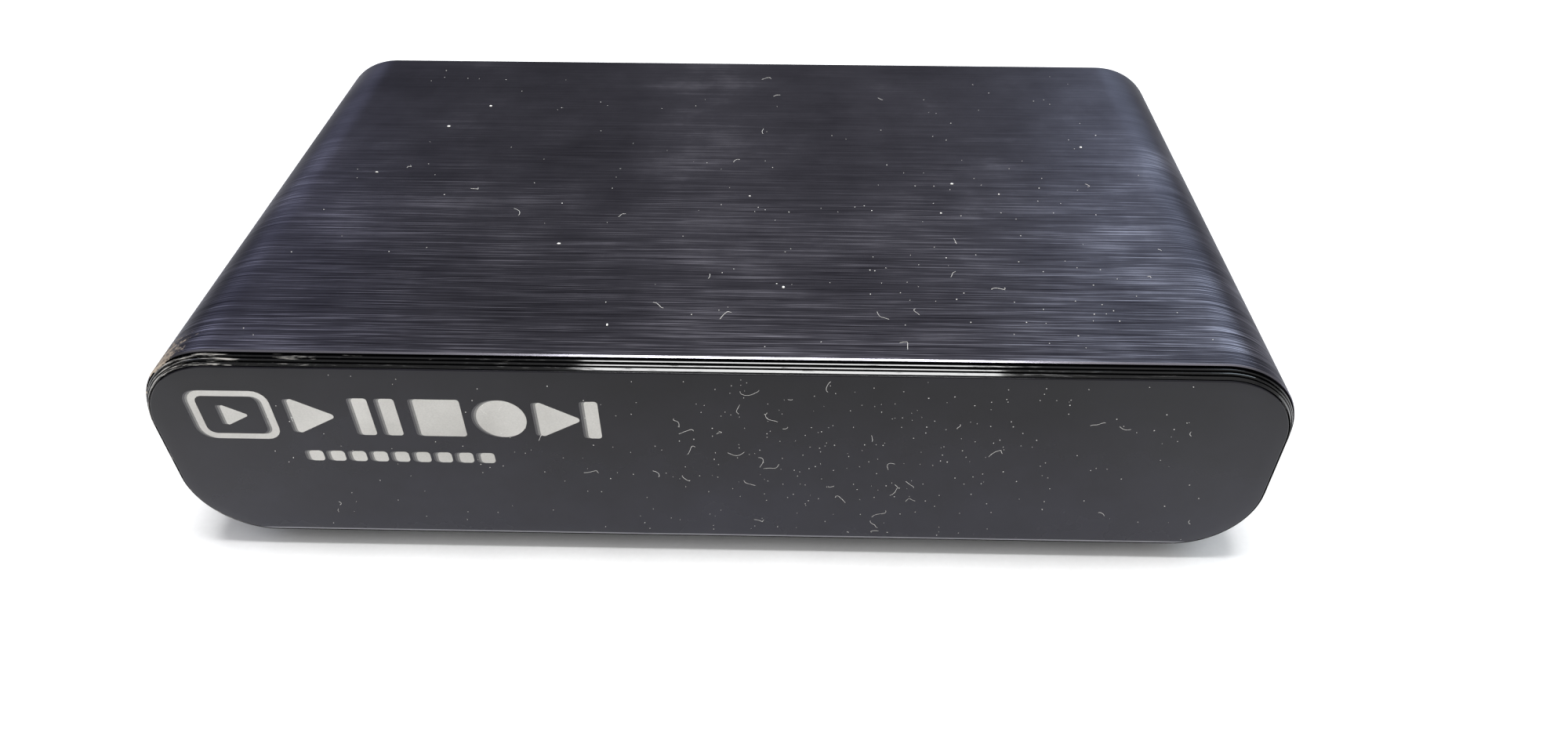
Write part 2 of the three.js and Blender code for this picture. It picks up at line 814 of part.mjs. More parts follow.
const hdmiTongueTop = boardTop + hdmi.height / 2 + hdmiTongue.thickness / 2 + hdmiTongue.lift;
const usbTongueTop = boardTop + usb.height - usb.wall - usbTongue.drop;
place('hdmi_shell', makeHdmiShell(), looks.nickel);
place('hdmi_tongue', makeTongue(hdmi, hdmiX, hdmiTongue, hdmiTongueTop), looks.blackPlastic);
place('usb_shell', makeUsbShell(), looks.nickel);
place('usb_tongue', makeTongue(usb, usbX, usbTongue, usbTongueTop), looks.blackPlastic);
place('av_jack_body', makeAvJack(), looks.blackPlastic);
place('dc_jack_body', makeDcJack(), looks.blackPlastic);
place('dc_jack_pin', makeDcPin(), looks.nickel);

// ---- Parts on the main board ----------------------------------------------------------------

// A flat part on the board: centre across and along, width, depth, height, height of its base.
function flatPart(x, y, width, depth, height, base = boardTop) {
  return block(x - width / 2, x + width / 2, y - depth / 2, y + depth / 2, base, base + height);
}

const mainChip = { x: -6, y: 34, size: 14, height: 1.4 };
const padHeight = 0.5;
const heatsink = { size: 20, base: 1.6, height: 6.5, fins: 7, finThickness: 1.1 };
const capacitorCan = { groove: 0.3, grooveHeight: 1.4, shoulder: 0.4 };
const choke = { size: 6.6, height: 3.6, baseHeight: 2.2, topRadius: 3.0 };

function makeHeatsink() {
  const bottom = boardTop + mainChip.height + padHeight;
  const { x, y } = mainChip;
  const base = flatPart(x, y, heatsink.size, heatsink.size, heatsink.base, bottom);
  const pitch = (heatsink.size - heatsink.finThickness) / (heatsink.fins - 1);
  const fins = [];
  for (let i = 0; i < heatsink.fins; i += 1) {
    const finX = x - heatsink.size / 2 + heatsink.finThickness / 2 + i * pitch;
    fins.push(flatPart(finX, y, heatsink.finThickness, heatsink.size, heatsink.height, bottom));
  }
  return shaped(base, fins, []);
}

// An aluminium can capacitor: a soft shoulder, and a groove rolled in near its foot.
function makeCapacitor(x, y, radius, height) {
  const { groove, grooveHeight, shoulder } = capacitorCan;
  return turnedZ([
    [0, boardTop],
    [radius, boardTop],
    [radius, boardTop + grooveHeight - groove],
    [radius - groove, boardTop + grooveHeight],
    [radius, boardTop + grooveHeight + groove],
    [radius, boardTop + height - shoulder],
    [radius - shoulder, boardTop + height],
    [0, boardTop + height],
  ], x, y, smallFacets);
}

// A power choke: a square base with a round top.
function makeInductor(x, y) {
  const base = flatPart(x, y, choke.size, choke.size, choke.baseHeight);
  const { topRadius, height } = choke;
  const top = new THREE.CylinderGeometry(topRadius, topRadius, height, smallFacets);
  top.rotateX(Math.PI / 2);
  top.translate(x, y, boardTop + height / 2);
  return shaped(base, [top], []);
}

const { x: chipX, y: chipY, size: chipSize, height: chipHeight } = mainChip;
place('main_chip', flatPart(chipX, chipY, chipSize, chipSize, chipHeight), looks.chip);
const padSheet = flatPart(chipX, chipY, chipSize, chipSize, padHeight, boardTop + chipHeight);
place('thermal_pad', padSheet, looks.pad);
place('heatsink', makeHeatsink(), looks.heatsink);

// Flat packages: place of the centre, then width, depth and height.
const regulator = { y: 26, width: 6.5, depth: 3.5, height: 1.7, look: looks.chip };
const packages = [
  { name: 'memory_chip', x: -24, y: 38, width: 10, depth: 13, height: 1.2, look: looks.chip },
  { name: 'flash_chip', x: -24, y: 24, width: 5.2, depth: 6.2, height: 1.8, look: looks.chip },
  { name: 'crystal', x: -6, y: 17, width: 11, depth: 4.4, height: 3.4, look: looks.tin },
  { name: 'regulator_1', x: 5.5 - boardHalf, ...regulator },
  { name: 'regulator_2', x: 13.5 - boardHalf, ...regulator },
];
for (const p of packages) {
  place(p.name, flatPart(p.x, p.y, p.width, p.depth, p.height), p.look);
}

// The supply parts keep to the left edge of the board.
const capacitors = [
  { inset: 5.0, y: 44, radius: 2.5, height: 7 },
  { inset: 12.0, y: 44, radius: 2.5, height: 7 },
  { inset: 6.0, y: 18, radius: 3.15, height: 9 },
  { inset: 14.0, y: 15, radius: 2.5, height: 7 },
];
capacitors.forEach((c, i) => {
  const can = makeCapacitor(c.inset - boardHalf, c.y, c.radius, c.height);
  place(`capacitor_${i + 1}`, can, looks.capacitor);
});

const inductors = [{ inset: 5.5, y: 33 }, { inset: 13.5, y: 33 }];
inductors.forEach((c, i) => {
  place(`inductor_${i + 1}`, makeInductor(c.inset - boardHalf, c.y), looks.ferrite);
});

// ---- Display board ---------------------------------------------------------------------------

function makeDisplayBoard() {
  const low = midHeight - displayBoardHalfHeight;
  const high = midHeight + displayBoardHalfHeight;
  const sheet = block(displayBoardLeft, displayBoardRight, displayFront, displayRear, low, high);
  const holes = displayScrewXs.map((x) => {
    const radius = displayScrewRadius + insideGap;
    return barY(radius, displayFront - 1, displayRear + 1, x, midHeight, smallFacets);
  });
  return shaped(sheet, [], holes);
}

function makeDisplayScrew(x) {
  const head = displayRear + displayScrewHeadHeight;
  return turnedY([
    [0, displayRear - displayScrewLength],
    [displayScrewRadius, displayRear - displayScrewLength],
    [displayScrewRadius, displayRear],
    [displayScrewHead, displayRear],
    [displayScrewTop, head],
    [0, head],
  ], x, midHeight, smallFacets);
}

// The receiver is a small moulded block with a round lens towards the panel.
function makeReceiver() {
  const z0 = midHeight - receiver.height / 2;
  const z1 = midHeight + receiver.height / 2;
  const x0 = receiverX - receiver.width / 2;
  const x1 = receiverX + receiver.width / 2;
  const body = block(x0, x1, displayFront - receiver.body, displayFront, z0, z1);
  const dome = new THREE.SphereGeometry(receiver.dome, smallFacets, smallFacets / 2);
  dome.translate(receiverX, displayFront - receiver.body, midHeight);
  return shaped(body, [dome], []);
}

function makeLed() {
  const tip = recessFloor + frontGap;
  const shoulder = tip + led.radius;
  const profile = [[0, tip]];
  const arcSteps = 6;
  for (let i = 1; i <= arcSteps; i += 1) {
    const angle = (i / arcSteps) * Math.PI / 2;
    profile.push([led.radius * Math.sin(angle), shoulder - led.radius * Math.cos(angle)]);
  }
  profile.push([led.radius, displayFront]);
  profile.push([0, displayFront]);
  return turnedY(profile, ledX, midHeight, smallFacets);
}

const digitBlock = block(
  digitsX - digits.width / 2,
  digitsX + digits.width / 2,
  recessFloor + frontGap,
  displayFront,
  midHeight - digits.height / 2,
  midHeight + digits.height / 2,
);
place('display_board', makeDisplayBoard(), looks.board);
place('display_screw_left', makeDisplayScrew(displayScrewXs[0]), looks.blackSteel);
place('display_screw_right', makeDisplayScrew(displayScrewXs[1]), looks.blackSteel);
place('digit_display', digitBlock, looks.blackPlastic);
place('infrared_receiver', makeReceiver(), looks.lens);
place('power_led', makeLed(), looks.ledLens);

// ---- Ribbon link -------------------------------------------------------------------------------

const headerZ = boardTop + header.height + plug.stand + headerRise;
const mainHeaderY = displayRear + header.height + plug.stand + ribbonRadius;
const halfHeader = header.width / 2;
const halfHeaderDepth = header.depth / 2;

// A shrouded header: a box open on the side that takes the plug.
function makeDisplayHeader() {
  const y0 = displayRear;
  const y1 = displayRear + header.height;
  const z0 = headerZ - halfHeaderDepth;
  const z1 = headerZ + halfHeaderDepth;
  const outer = block(headerX - halfHeader, headerX + halfHeader, y0, y1, z0, z1);
  const inX = halfHeader - header.wall;
  const inner = block(
    headerX - inX,
    headerX + inX,
    y0 + header.floor,
    y1 + 1,
    z0 + header.wall,
    z1 - header.wall,
  );
  return shaped(outer, [], [inner]);
}

function makeMainHeader() {
  const y0 = mainHeaderY - halfHeaderDepth;
  const y1 = mainHeaderY + halfHeaderDepth;
  const z1 = boardTop + header.height;
  const outer = block(headerX - halfHeader, headerX + halfHeader, y0, y1, boardTop, z1);
  const inX = halfHeader - header.wall;
  const inner = block(
    headerX - inX,
    headerX + inX,
    y0 + header.wall,
    y1 - header.wall,
    boardTop + header.floor,
    z1 + 1,
  );
  return shaped(outer, [], [inner]);
}

const plugHalfWidth = halfHeader - header.wall - plug.gap;
const plugHalfDepth = halfHeaderDepth - header.wall - plug.gap;
const displayPlug = block(
  headerX - plugHalfWidth,
  headerX + plugHalfWidth,
  displayRear + header.floor + plug.inset,
  displayRear + header.height + plug.stand,
  headerZ - plugHalfDepth,
  headerZ + plugHalfDepth,
);
const mainPlug = block(
  headerX - plugHalfWidth,
  headerX + plugHalfWidth,
  mainHeaderY - plugHalfDepth,
  mainHeaderY + plugHalfDepth,
  boardTop + header.floor + plug.inset,
  boardTop + header.height + plug.stand,
);

// The ribbon leaves the upright plug to the rear, turns down and drops into the flat plug.
function makeRibbon() {
  const half = ribbonThickness / 2;
  const startY = displayRear + header.height + plug.stand;
  const endZ = boardTop + header.height + plug.stand;
  const bendZ = headerZ - ribbonRadius;
  const section = new THREE.Shape();
  section.moveTo(startY, headerZ - half);
  section.absarc(startY, bendZ, ribbonRadius - half, Math.PI / 2, 0, true);
  section.lineTo(startY + ribbonRadius - half, endZ);
  section.lineTo(startY + ribbonRadius + half, endZ);
  section.absarc(startY, bendZ, ribbonRadius + half, 0, Math.PI / 2, false);
  return alongX(section, ribbonWidth, headerX);
}

place('display_header', makeDisplayHeader(), looks.whitePlastic);
place('main_header', makeMainHeader(), looks.whitePlastic);
place('display_plug', displayPlug, looks.whitePlastic);
place('main_plug', mainPlug, looks.whitePlastic);
place('display_cable', makeRibbon(), looks.ribbon);

export default receiverBox;
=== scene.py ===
"""Looks of a compact television receiver and recorder: a brushed, black anodised sleeve, closed by a
glossy stepped bezel with a smoked panel, and by a moulded rear cover with its row of sockets.
Metres, in the part's own frame: +X right seen from the front, +Y to the rear, +Z up."""
import math

import bmesh
import bpy
from mathutils import Matrix, Vector


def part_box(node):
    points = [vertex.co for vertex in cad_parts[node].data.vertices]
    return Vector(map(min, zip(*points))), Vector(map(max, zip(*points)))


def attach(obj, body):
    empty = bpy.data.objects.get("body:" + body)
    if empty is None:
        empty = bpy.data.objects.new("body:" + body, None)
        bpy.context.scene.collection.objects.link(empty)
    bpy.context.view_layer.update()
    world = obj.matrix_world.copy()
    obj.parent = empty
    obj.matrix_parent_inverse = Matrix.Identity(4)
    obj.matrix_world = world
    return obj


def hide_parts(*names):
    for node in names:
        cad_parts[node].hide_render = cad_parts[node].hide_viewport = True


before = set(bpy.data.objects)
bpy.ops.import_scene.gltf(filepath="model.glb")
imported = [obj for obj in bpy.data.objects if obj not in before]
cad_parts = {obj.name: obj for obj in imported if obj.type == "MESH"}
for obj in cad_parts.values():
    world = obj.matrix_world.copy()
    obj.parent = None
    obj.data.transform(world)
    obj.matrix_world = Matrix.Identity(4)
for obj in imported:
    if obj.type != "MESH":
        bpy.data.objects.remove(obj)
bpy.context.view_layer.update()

MM = 0.001
BODY = "root"

# ---- Places taken from the frame

sleeve_low, sleeve_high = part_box("sleeve")
panel_low, panel_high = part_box("front_panel")

SLEEVE_WIDTH = sleeve_high.x - sleeve_low.x
SLEEVE_HEIGHT = sleeve_high.z - sleeve_low.z
SLEEVE_MIDDLE = (sleeve_low.z + sleeve_high.z) / 2
SLEEVE_FRONT = sleeve_low.y
SLEEVE_REAR = sleeve_high.y
TOP = sleeve_high.z
BEZEL_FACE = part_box("front_bezel")[0].y
REAR_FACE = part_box("rear_cover")[1].y
PANEL_FACE = panel_low.y
PANEL_BACK = panel_high.y

# ---- Sizes of the sleeve, the bezel and the cover

# The extrusion, with its cut ends softened outside and just broken inside.
SLEEVE_RADIUS = 9.2 * MM
SLEEVE_WALL = 1.4 * MM
SLEEVE_EDGE = 0.3 * MM
SLEEVE_INNER_EDGE = 0.12 * MM
SWEEP_SPACING = 0.45 * MM
SIDE_PARTS = 8
# The fine steps of the bezel and the cover, from the sleeve outwards.
FIRST_INSET = 0.3 * MM
STEP_INSET = 0.2 * MM
STEP_DEPTH = 0.4 * MM
STEP_ROUND = 0.02 * MM
GROOVE_WIDTH = 0.09 * MM
GROOVE_DEPTH = 0.3 * MM
# Narrow polished bevels at the brow of each step and of the sleeve, leaning out this far from
# upright, so that they catch the lamp overhead as bright lines.
FACET_TILT = math.radians(24.8)
STEP_FACETS = (0.12 * MM, 0.12 * MM, 0.28 * MM)
SLEEVE_FACET = 0.22 * MM
# The plates, the panel in its recess, and the places where flat faces close the swept rims.
LIP_ROUND = 0.05 * MM
PLATE_THICKNESS = 1.6 * MM
PLATE_INSET = SLEEVE_WALL + 0.25 * MM
PANEL_INSET = 1.0 * MM
PANEL_GAP = 0.1 * MM
PANEL_EDGE = 0.16 * MM
TAPE = 0.1 * MM
FILL_INSET = 2.4 * MM
COVER_FILL_INSET = 1.2 * MM
LOCATING_SIDE = 3.0 * MM
LOCATING_CORNER = 1.0 * MM
# Openings, each cleared by a gap round what passes through it.
SOFT_EDGE = 0.15 * MM
SOCKET_GAP = 0.35 * MM
SCREW_HOLE = 1.35 * MM
AERIAL_RADIUS = 6.4 * MM
JACK_RADIUS = 3.0 * MM
JACK_BORE = 1.8 * MM
SUPPLY_BORE = 3.0 * MM
SUPPLY_HOLE = 4.0 * MM
EYE_RADIUS = 2.2 * MM
# Rounds are drawn in this many steps or sides, and edges are shaded sharp past these angles.
ARC_STEPS = 6
CORNER_POINTS = 64
ROUND_SIDES = 48
AERIAL_SIDES = 64
JACK_SIDES = 40
WINDOW_SIDES = 32
SCREW_SIDES = 24
BEVEL_ANGLE = 20
TURNED_ANGLE = 30
SOFT_ANGLE = 35


# ---- Meshes

def centre(node):
    """Middle of a CAD node's box."""
    low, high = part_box(node)
    return (low + high) / 2


def linked(name, mesh):
    """A new object in the scene, at the origin."""
    thing = bpy.data.objects.new(name, mesh)
    bpy.context.scene.collection.objects.link(thing)
    return thing


def dress(piece, material, replaced=(), smooth_angle=SOFT_ANGLE):
    """Gives a piece its finish and shading, and its place in the frame's table."""
    mesh = piece.data
    mesh.materials.clear()
    mesh.materials.append(material)
    for face in mesh.polygons:
        face.use_smooth = len(face.vertices) == 4
    mesh.set_sharp_from_angle(angle=math.radians(smooth_angle))
    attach(piece, BODY)
    if replaced:
        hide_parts(*replaced)


def tidy_mesh(bm):
    """Merges doubles, then turns every face outwards."""
    bmesh.ops.remove_doubles(bm, verts=bm.verts, dist=1e-7)
    bmesh.ops.recalc_face_normals(bm, faces=bm.faces)


def baked(name, bm):
    """A tidied mesh from a bmesh, which is freed."""
    tidy_mesh(bm)
    mesh = bpy.data.meshes.new(name)
    bm.to_mesh(mesh)
    bm.free()
    return mesh


def new_piece(name, bm, material, replaced=(), smooth_angle=SOFT_ANGLE):
    """Turns a bmesh into a dressed piece."""
    dress(linked(name, baked(name, bm)), material, replaced, smooth_angle)


def reworked(piece, work=None):
    """Merges the doubles of a swept skin, does some work on it, and turns its faces outwards."""
    bm = bmesh.new()
    bm.from_mesh(piece.data)
    tidy_mesh(bm)
    if work:
        work(bm)
        tidy_mesh(bm)
    bm.to_mesh(piece.data)
    bm.free()
    return piece


def edge_round(corner, radius, start, turn, steps=ARC_STEPS):
    """Points of a quarter round of a profile, from an angle in degrees; corner is its centre."""
    points = []
    for step in range(steps + 1):
        angle = math.radians(start + turn * step / steps)
        points.append((corner[0] + radius * math.cos(angle), corner[1] + radius * math.sin(angle)))
    return points


def circle(radius, middle, count=ROUND_SIDES):
    """Points (x, z) round a circle."""
    angles = [2 * math.pi * step / count for step in range(count)]
    return [(middle[0] + radius * math.cos(a), middle[1] + radius * math.sin(a)) for a in angles]


def rounded(corners, radius, steps=5):
    """A polygon with each corner rounded; corners run anticlockwise."""
    points = []
    count = len(corners)
    for index in range(count):
        here = Vector(corners[index])
        before = (Vector(corners[index - 1]) - here).normalized()
        after = (Vector(corners[(index + 1) % count]) - here).normalized()
        half = before.angle(after) / 2
        hub = here + (before + after).normalized() * (radius / math.sin(half))
        start = here + before * (radius / math.tan(half)) - hub
        end = here + after * (radius / math.tan(half)) - hub
        swing = start.angle_signed(end)
        for step in range(steps + 1):
            points.append(tuple(hub + Matrix.Rotation(-swing * step / steps, 2) @ start))
    return points


def box_outline(width, height, radius, middle, steps=5):
    """A rounded rectangle (x, z)."""
    x, z = middle
    w, h = width / 2, height / 2
    corners = [(x - w, z - h), (x + w, z - h), (x + w, z + h), (x - w, z + h)]
    return rounded(corners, radius, steps)


def ring(bm, outline, y):
    """Vertices round an outline (x, z), at a depth."""
    return [bm.verts.new((x, y, z)) for x, z in outline]


def bridge(bm, first, second):
    """Quads between two rings with the same number of points."""
    count = len(first)
    for step in range(count):
        following = (step + 1) % count
        bm.faces.new((first[step], first[following], second[following], second[step]))


def ring_stack(bm, rings, cap_start=True, cap_end=True):
    """A skin over rings of vertices, closed at its ends."""
    for first, second in zip(rings, rings[1:]):
        bridge(bm, first, second)
    if cap_start:
        bm.faces.new(rings[0])
    if cap_end:
        bm.faces.new(list(reversed(rings[-1])))


def turned(bm, profile, middle, axis="Y", count=ROUND_SIDES):
    """A solid turned about an axis, from a profile of (radius, place along the axis)."""
    rings = []
    for radius, along in profile:
        points = circle(max(radius, 0.01 * MM), (0, 0), count)
        if axis == "Y":
            rings.append([bm.verts.new((middle[0] + a, along, middle[1] + b)) for a, b in points])
        else:
            rings.append([bm.verts.new((middle[0] + a, middle[1] + b, along)) for a, b in points])
    ring_stack(bm, rings)


def fill_flat(bm, loops, normal):
    """A flat face between an outer loop of vertices and the holes in it."""
    edges = []
    for loop in loops:
        for a, b in zip(loop, loop[1:] + loop[:1]):
            edges.append(bm.edges.get((a, b)) or bm.edges.new((a, b)))
    bmesh.ops.triangle_fill(bm, use_beauty=True, edges=edges, normal=normal)


def open_hole(bm, outlines, y_face, y_back):
    """The wall of a hole through a plate. Outlines gives the hole grown by a distance. The edge on
    the face is softened; returns the loops of vertices on the face and on the back."""
    inward = 1 if y_back > y_face else -1
    rings = []
    for step in range(4):
        angle = math.radians(30 * step)
        grown_by = SOFT_EDGE * (1 - math.sin(angle))
        rings.append(ring(bm, outlines(grown_by), y_face + inward * SOFT_EDGE * (1 - math.cos(angle))))
    rings.append(ring(bm, outlines(0), y_back))
    ring_stack(bm, rings, False, False)
    return rings[0], rings[-1]


def close_plate(bm, face, back, holes=()):
    """Closes two loops with flat faces, pierced by holes whose softened edges are on the face. A
    hole is a function that returns its outline grown by a distance."""
    y_face, y_back = face[0].co.y, back[0].co.y
    outward = 1 if y_face > y_back else -1
    walls = [open_hole(bm, hole, y_face, y_back) for hole in holes]
    fill_flat(bm, [face, *(wall[0] for wall in walls)], (0, outward, 0))
    fill_flat(bm, [back, *(wall[1] for wall in walls)], (0, -outward, 0))


def pierced_plate(bm, outline, y_face, y_back, holes=()):
    """A plate between two depths, in an outline, with the holes through it."""
    face, back = ring(bm, outline, y_face), ring(bm, outline, y_back)
    bridge(bm, face, back)
    close_plate(bm, face, back, holes)


# ---- Nodes

def linear(hex_colour):
    """An sRGB hex colour as linear red, green, blue and alpha."""
    channels = [int(hex_colour[i:i + 2], 16) / 255 for i in (1, 3, 5)]
    toned = [c / 12.92 if c <= 0.04045 else ((c + 0.055) / 1.055) ** 2.4 for c in channels]
    return (*toned, 1.0)


def join(tree, node, inputs):
    """Links outputs to a node's inputs, given by name or as a list in the node's own order, and sets
    the values of the others; '#' starts a colour."""
    for key, value in inputs.items() if isinstance(inputs, dict) else enumerate(inputs):
        if isinstance(value, bpy.types.NodeSocket):
            tree.links.new(value, node.inputs[key])
        elif isinstance(value, str) and value.startswith("#"):
            node.inputs[key].default_value = linear(value)
        else:
            node.inputs[key].default_value = value


def add(tree, kind, inputs=None, out=0, stops=None, **settings):
    """Adds a node with its settings, its linked or plain inputs and, on a ramp, its stops.
    Returns the output named by out. A Map Range lists its value, where from and where to."""
    node = tree.nodes.new(kind)
    for key, value in settings.items():
        setattr(node, key, value)
    join(tree, node, inputs or {})
    if stops:
        elements = node.color_ramp.elements
        while len(elements) < len(stops):
            elements.new(0.5)
        for element, (place, tone) in zip(elements, stops):
            element.position = place
            element.color = linear(tone) if isinstance(tone, str) else (tone, tone, tone, 1.0)
    return node.outputs[out]


def per(millimetres):
    """Scale of a pattern whose features are that big."""
    return 1.0 / (millimetres * MM)


def surface(name, **values):
    """A material, its surface shader, whose plain values are set on its own sockets, and the place
    on the piece that its patterns read."""
    material = bpy.data.materials.new(name)
    material.use_nodes = True
    bsdf = material.node_tree.nodes["Principled BSDF"]
    join(material.node_tree, bsdf, {key.replace("_", " "): value for key, value in values.items()})
    place = add(material.node_tree, "ShaderNodeTexCoord", out="Object")
    return material, material.node_tree, bsdf, place


def finished(tree, bsdf, colour, rough, height, strength, depth, **more):
    """Gives a surface its colour and roughness, and a relief from a height, depth in millimetres."""
    relief = add(tree, "ShaderNodeBump", {
        "Height": height, "Strength": strength, "Distance": depth * MM}, "Normal")
    join(tree, bsdf, {"Base Color": colour, "Roughness": rough, "Normal": relief, **more})


def layered_noise(tree, place, layers):
    """Sum of noises, each with (length across X and Z, length along Y, share, detail), in mm."""
    total = 0.0
    for index, (across, along, share, detail) in enumerate(layers):
        stretched = add(tree, "ShaderNodeMapping", {
            "Vector": place, "Scale": (per(across), per(along), per(across)),
            "Location": (3.7 * index, 5.1 * index, 1.3 * index)})
        wave = add(tree, "ShaderNodeTexNoise", {
            "Vector": stretched, "Scale": 1.0, "Detail": detail, "Roughness": 0.6}, "Fac")
        total = add(tree, "ShaderNodeMath", [wave, share, total], operation="MULTIPLY_ADD")
    return total


def grained(name, colours, grain, rough, bump=0.03, soft=0.6, **values):
    """A moulded, cast or coated surface: cloudy colour, and a grain that stands out and dulls it.
    Colours run from dark to light, grain is in mm, rough runs from polished to dull."""
    material, tree, bsdf, place = surface(name, **values)
    cloud = add(tree, "ShaderNodeTexNoise", {"Vector": place, "Scale": per(9.0), "Detail": 4.0}, "Fac")
    pits = add(tree, "ShaderNodeTexNoise", {
        "Vector": place, "Scale": per(grain), "Detail": 3.0, "Roughness": soft}, "Fac")
    mixed = add(tree, "ShaderNodeMath", [pits, 0.5, cloud], operation="MULTIPLY_ADD")
    tone = add(tree, "ShaderNodeValToRGB", {"Fac": mixed}, stops=[(0.55, colours[0]), (0.95, colours[1])])
    dull = add(tree, "ShaderNodeMapRange", [pits, 0.3, 0.7, rough[0], rough[1]])
    finished(tree, bsdf, tone, dull, pits, 0.5, bump)
    return material


# ---- Finishes that show

def anodised_aluminium():
    """Extruded aluminium, belt-brushed round the section and dyed black in the anodising bath. It
    gives a dark blue-grey sheen that stretches across the brushing, with pale hairlines."""
    material, tree, bsdf, place = surface(
        "brushed_black_anodised_aluminium", Metallic=1.0, Anisotropic=0.6,
        Specular_Tint=(0.55, 0.55, 0.58, 1.0))
    # Real brush lines are about 0.05 mm wide. They are drawn 0.12 to 0.3 mm wide so that they show.
    hairs = layered_noise(tree, place, [(10, 0.1, 0.65, 2), (22, 0.2, 0.35, 2)])
    bands = layered_noise(tree, place, [(30, 6, 0.25, 4), (17, 17, 0.75, 5)])
    # The brush lines are drawn with more contrast towards the front and less towards the rear.
    y = add(tree, "ShaderNodeSeparateXYZ", {"Vector": place}, "Y")
    front_line_contrast = add(tree, "ShaderNodeMapRange", [y, SLEEVE_FRONT, SLEEVE_REAR - 12 * MM, 1.25, 0.22])
    lines = add(tree, "ShaderNodeMath", [hairs, 0.5], operation="SUBTRACT")
    broad = add(tree, "ShaderNodeMath", [bands, 0.45, 0.27], operation="MULTIPLY_ADD")
    tone = add(tree, "ShaderNodeMath", [lines, front_line_contrast, broad], operation="MULTIPLY_ADD")
    dye = add(tree, "ShaderNodeValToRGB", {"Fac": tone}, stops=[
        (0.3, "#151419"), (0.46, "#333238"), (0.54, "#403f46"), (0.72, "#85838d")])
    # The sawn end was bevelled after brushing: a smooth, paler line along the front and rear edges.
    middle_y = (SLEEVE_FRONT + SLEEVE_REAR) / 2
    off = add(tree, "ShaderNodeMath", [y, middle_y], operation="SUBTRACT")
    reach = add(tree, "ShaderNodeMath", [off], operation="ABSOLUTE")
    half = (SLEEVE_REAR - SLEEVE_FRONT) / 2
    bevel = add(tree, "ShaderNodeMapRange", [reach, half - SLEEVE_EDGE, half - 0.7 * SLEEVE_EDGE])
    dyed = add(tree, "ShaderNodeMix", {0: bevel, 6: dye, 7: "#6b6970"}, 2, data_type="RGBA")
    # The end faces, where the sleeve meets the bezel and the rear cover, are painted near black: painted
    # shade in the seams.
    cut = add(tree, "ShaderNodeMapRange", [reach, half - 0.03 * MM, half - 0.01 * MM])
    dyed = add(tree, "ShaderNodeMix", {0: cut, 6: dyed, 7: "#0a0a0c"}, 2, data_type="RGBA")
    # Knocks have rubbed the dye off the front corner on the left, down to dull grey metal.
    corner = (sleeve_low.x + 3.0 * MM, SLEEVE_FRONT + 0.6 * MM, TOP - 2.6 * MM)
    away = add(tree, "ShaderNodeVectorMath", [place, corner], "Value", operation="DISTANCE")
    near = add(tree, "ShaderNodeMapRange", [away, 1.0 * MM, 8.0 * MM, 0.13, -0.25])
    chips = layered_noise(tree, place, [(1.0, 1.0, 0.6, 5), (0.35, 0.35, 0.4, 3)])
    worn = add(tree, "ShaderNodeMath", [near, chips], operation="ADD")
    worn = add(tree, "ShaderNodeValToRGB", {"Fac": worn}, stops=[(0.52, 0.0), (0.6, 1.0)])
    colour = add(tree, "ShaderNodeMix", {0: worn, 6: dyed, 7: "#c4b6a6"}, 2, data_type="RGBA")
    rough = add(tree, "ShaderNodeMapRange", [tone, 0.35, 0.65, 0.44, 0.34])
    smooth = add(tree, "ShaderNodeMath", [bevel, -0.16, rough], operation="MULTIPLY_ADD")
    dull = add(tree, "ShaderNodeMath", [worn, 0.3, smooth], operation="MULTIPLY_ADD")
    face = add(tree, "ShaderNodeNewGeometry", out="Normal")
    round_section = add(tree, "ShaderNodeVectorMath", [face, (0, 1, 0)], operation="CROSS_PRODUCT")
    across = add(tree, "ShaderNodeVectorMath", [face, round_section], operation="CROSS_PRODUCT")
    surface_height = add(tree, "ShaderNodeMath", [worn, -2.5, hairs], operation="MULTIPLY_ADD")
    finished(tree, bsdf, colour, dull, surface_height, 0.2, 0.02, Tangent=across)
    return material


def gloss_black_abs():
    """Black ABS moulded in a polished tool: a deep gloss with faint hairline marks, and pale scuffs
    where the steps have been knocked on the left."""
    material, tree, bsdf, place = surface("gloss_black_abs", IOR=1.53, Specular_IOR_Level=0.26)
    marks = layered_noise(tree, place, [(1.6, 0.09, 0.5, 4), (5, 0.3, 0.5, 3)])
    x = add(tree, "ShaderNodeSeparateXYZ", {"Vector": place}, "X")
    left = add(tree, "ShaderNodeMapRange", [x, sleeve_low.x + 6 * MM, sleeve_low.x + 26 * MM, 0.12, -0.02])
    lifted = add(tree, "ShaderNodeMath", [marks, left], operation="ADD")
    scuff = add(tree, "ShaderNodeValToRGB", {"Fac": lifted}, stops=[(0.63, 0.0), (0.69, 1.0)])
    colour = add(tree, "ShaderNodeMix", {0: scuff, 6: "#030304", 7: "#a5a29e"}, 2, data_type="RGBA")
    rough = add(tree, "ShaderNodeMapRange", [lifted, 0.52, 0.7, 0.05, 0.5])
    finished(tree, bsdf, colour, rough, scuff, 0.3, 0.02)
    return material


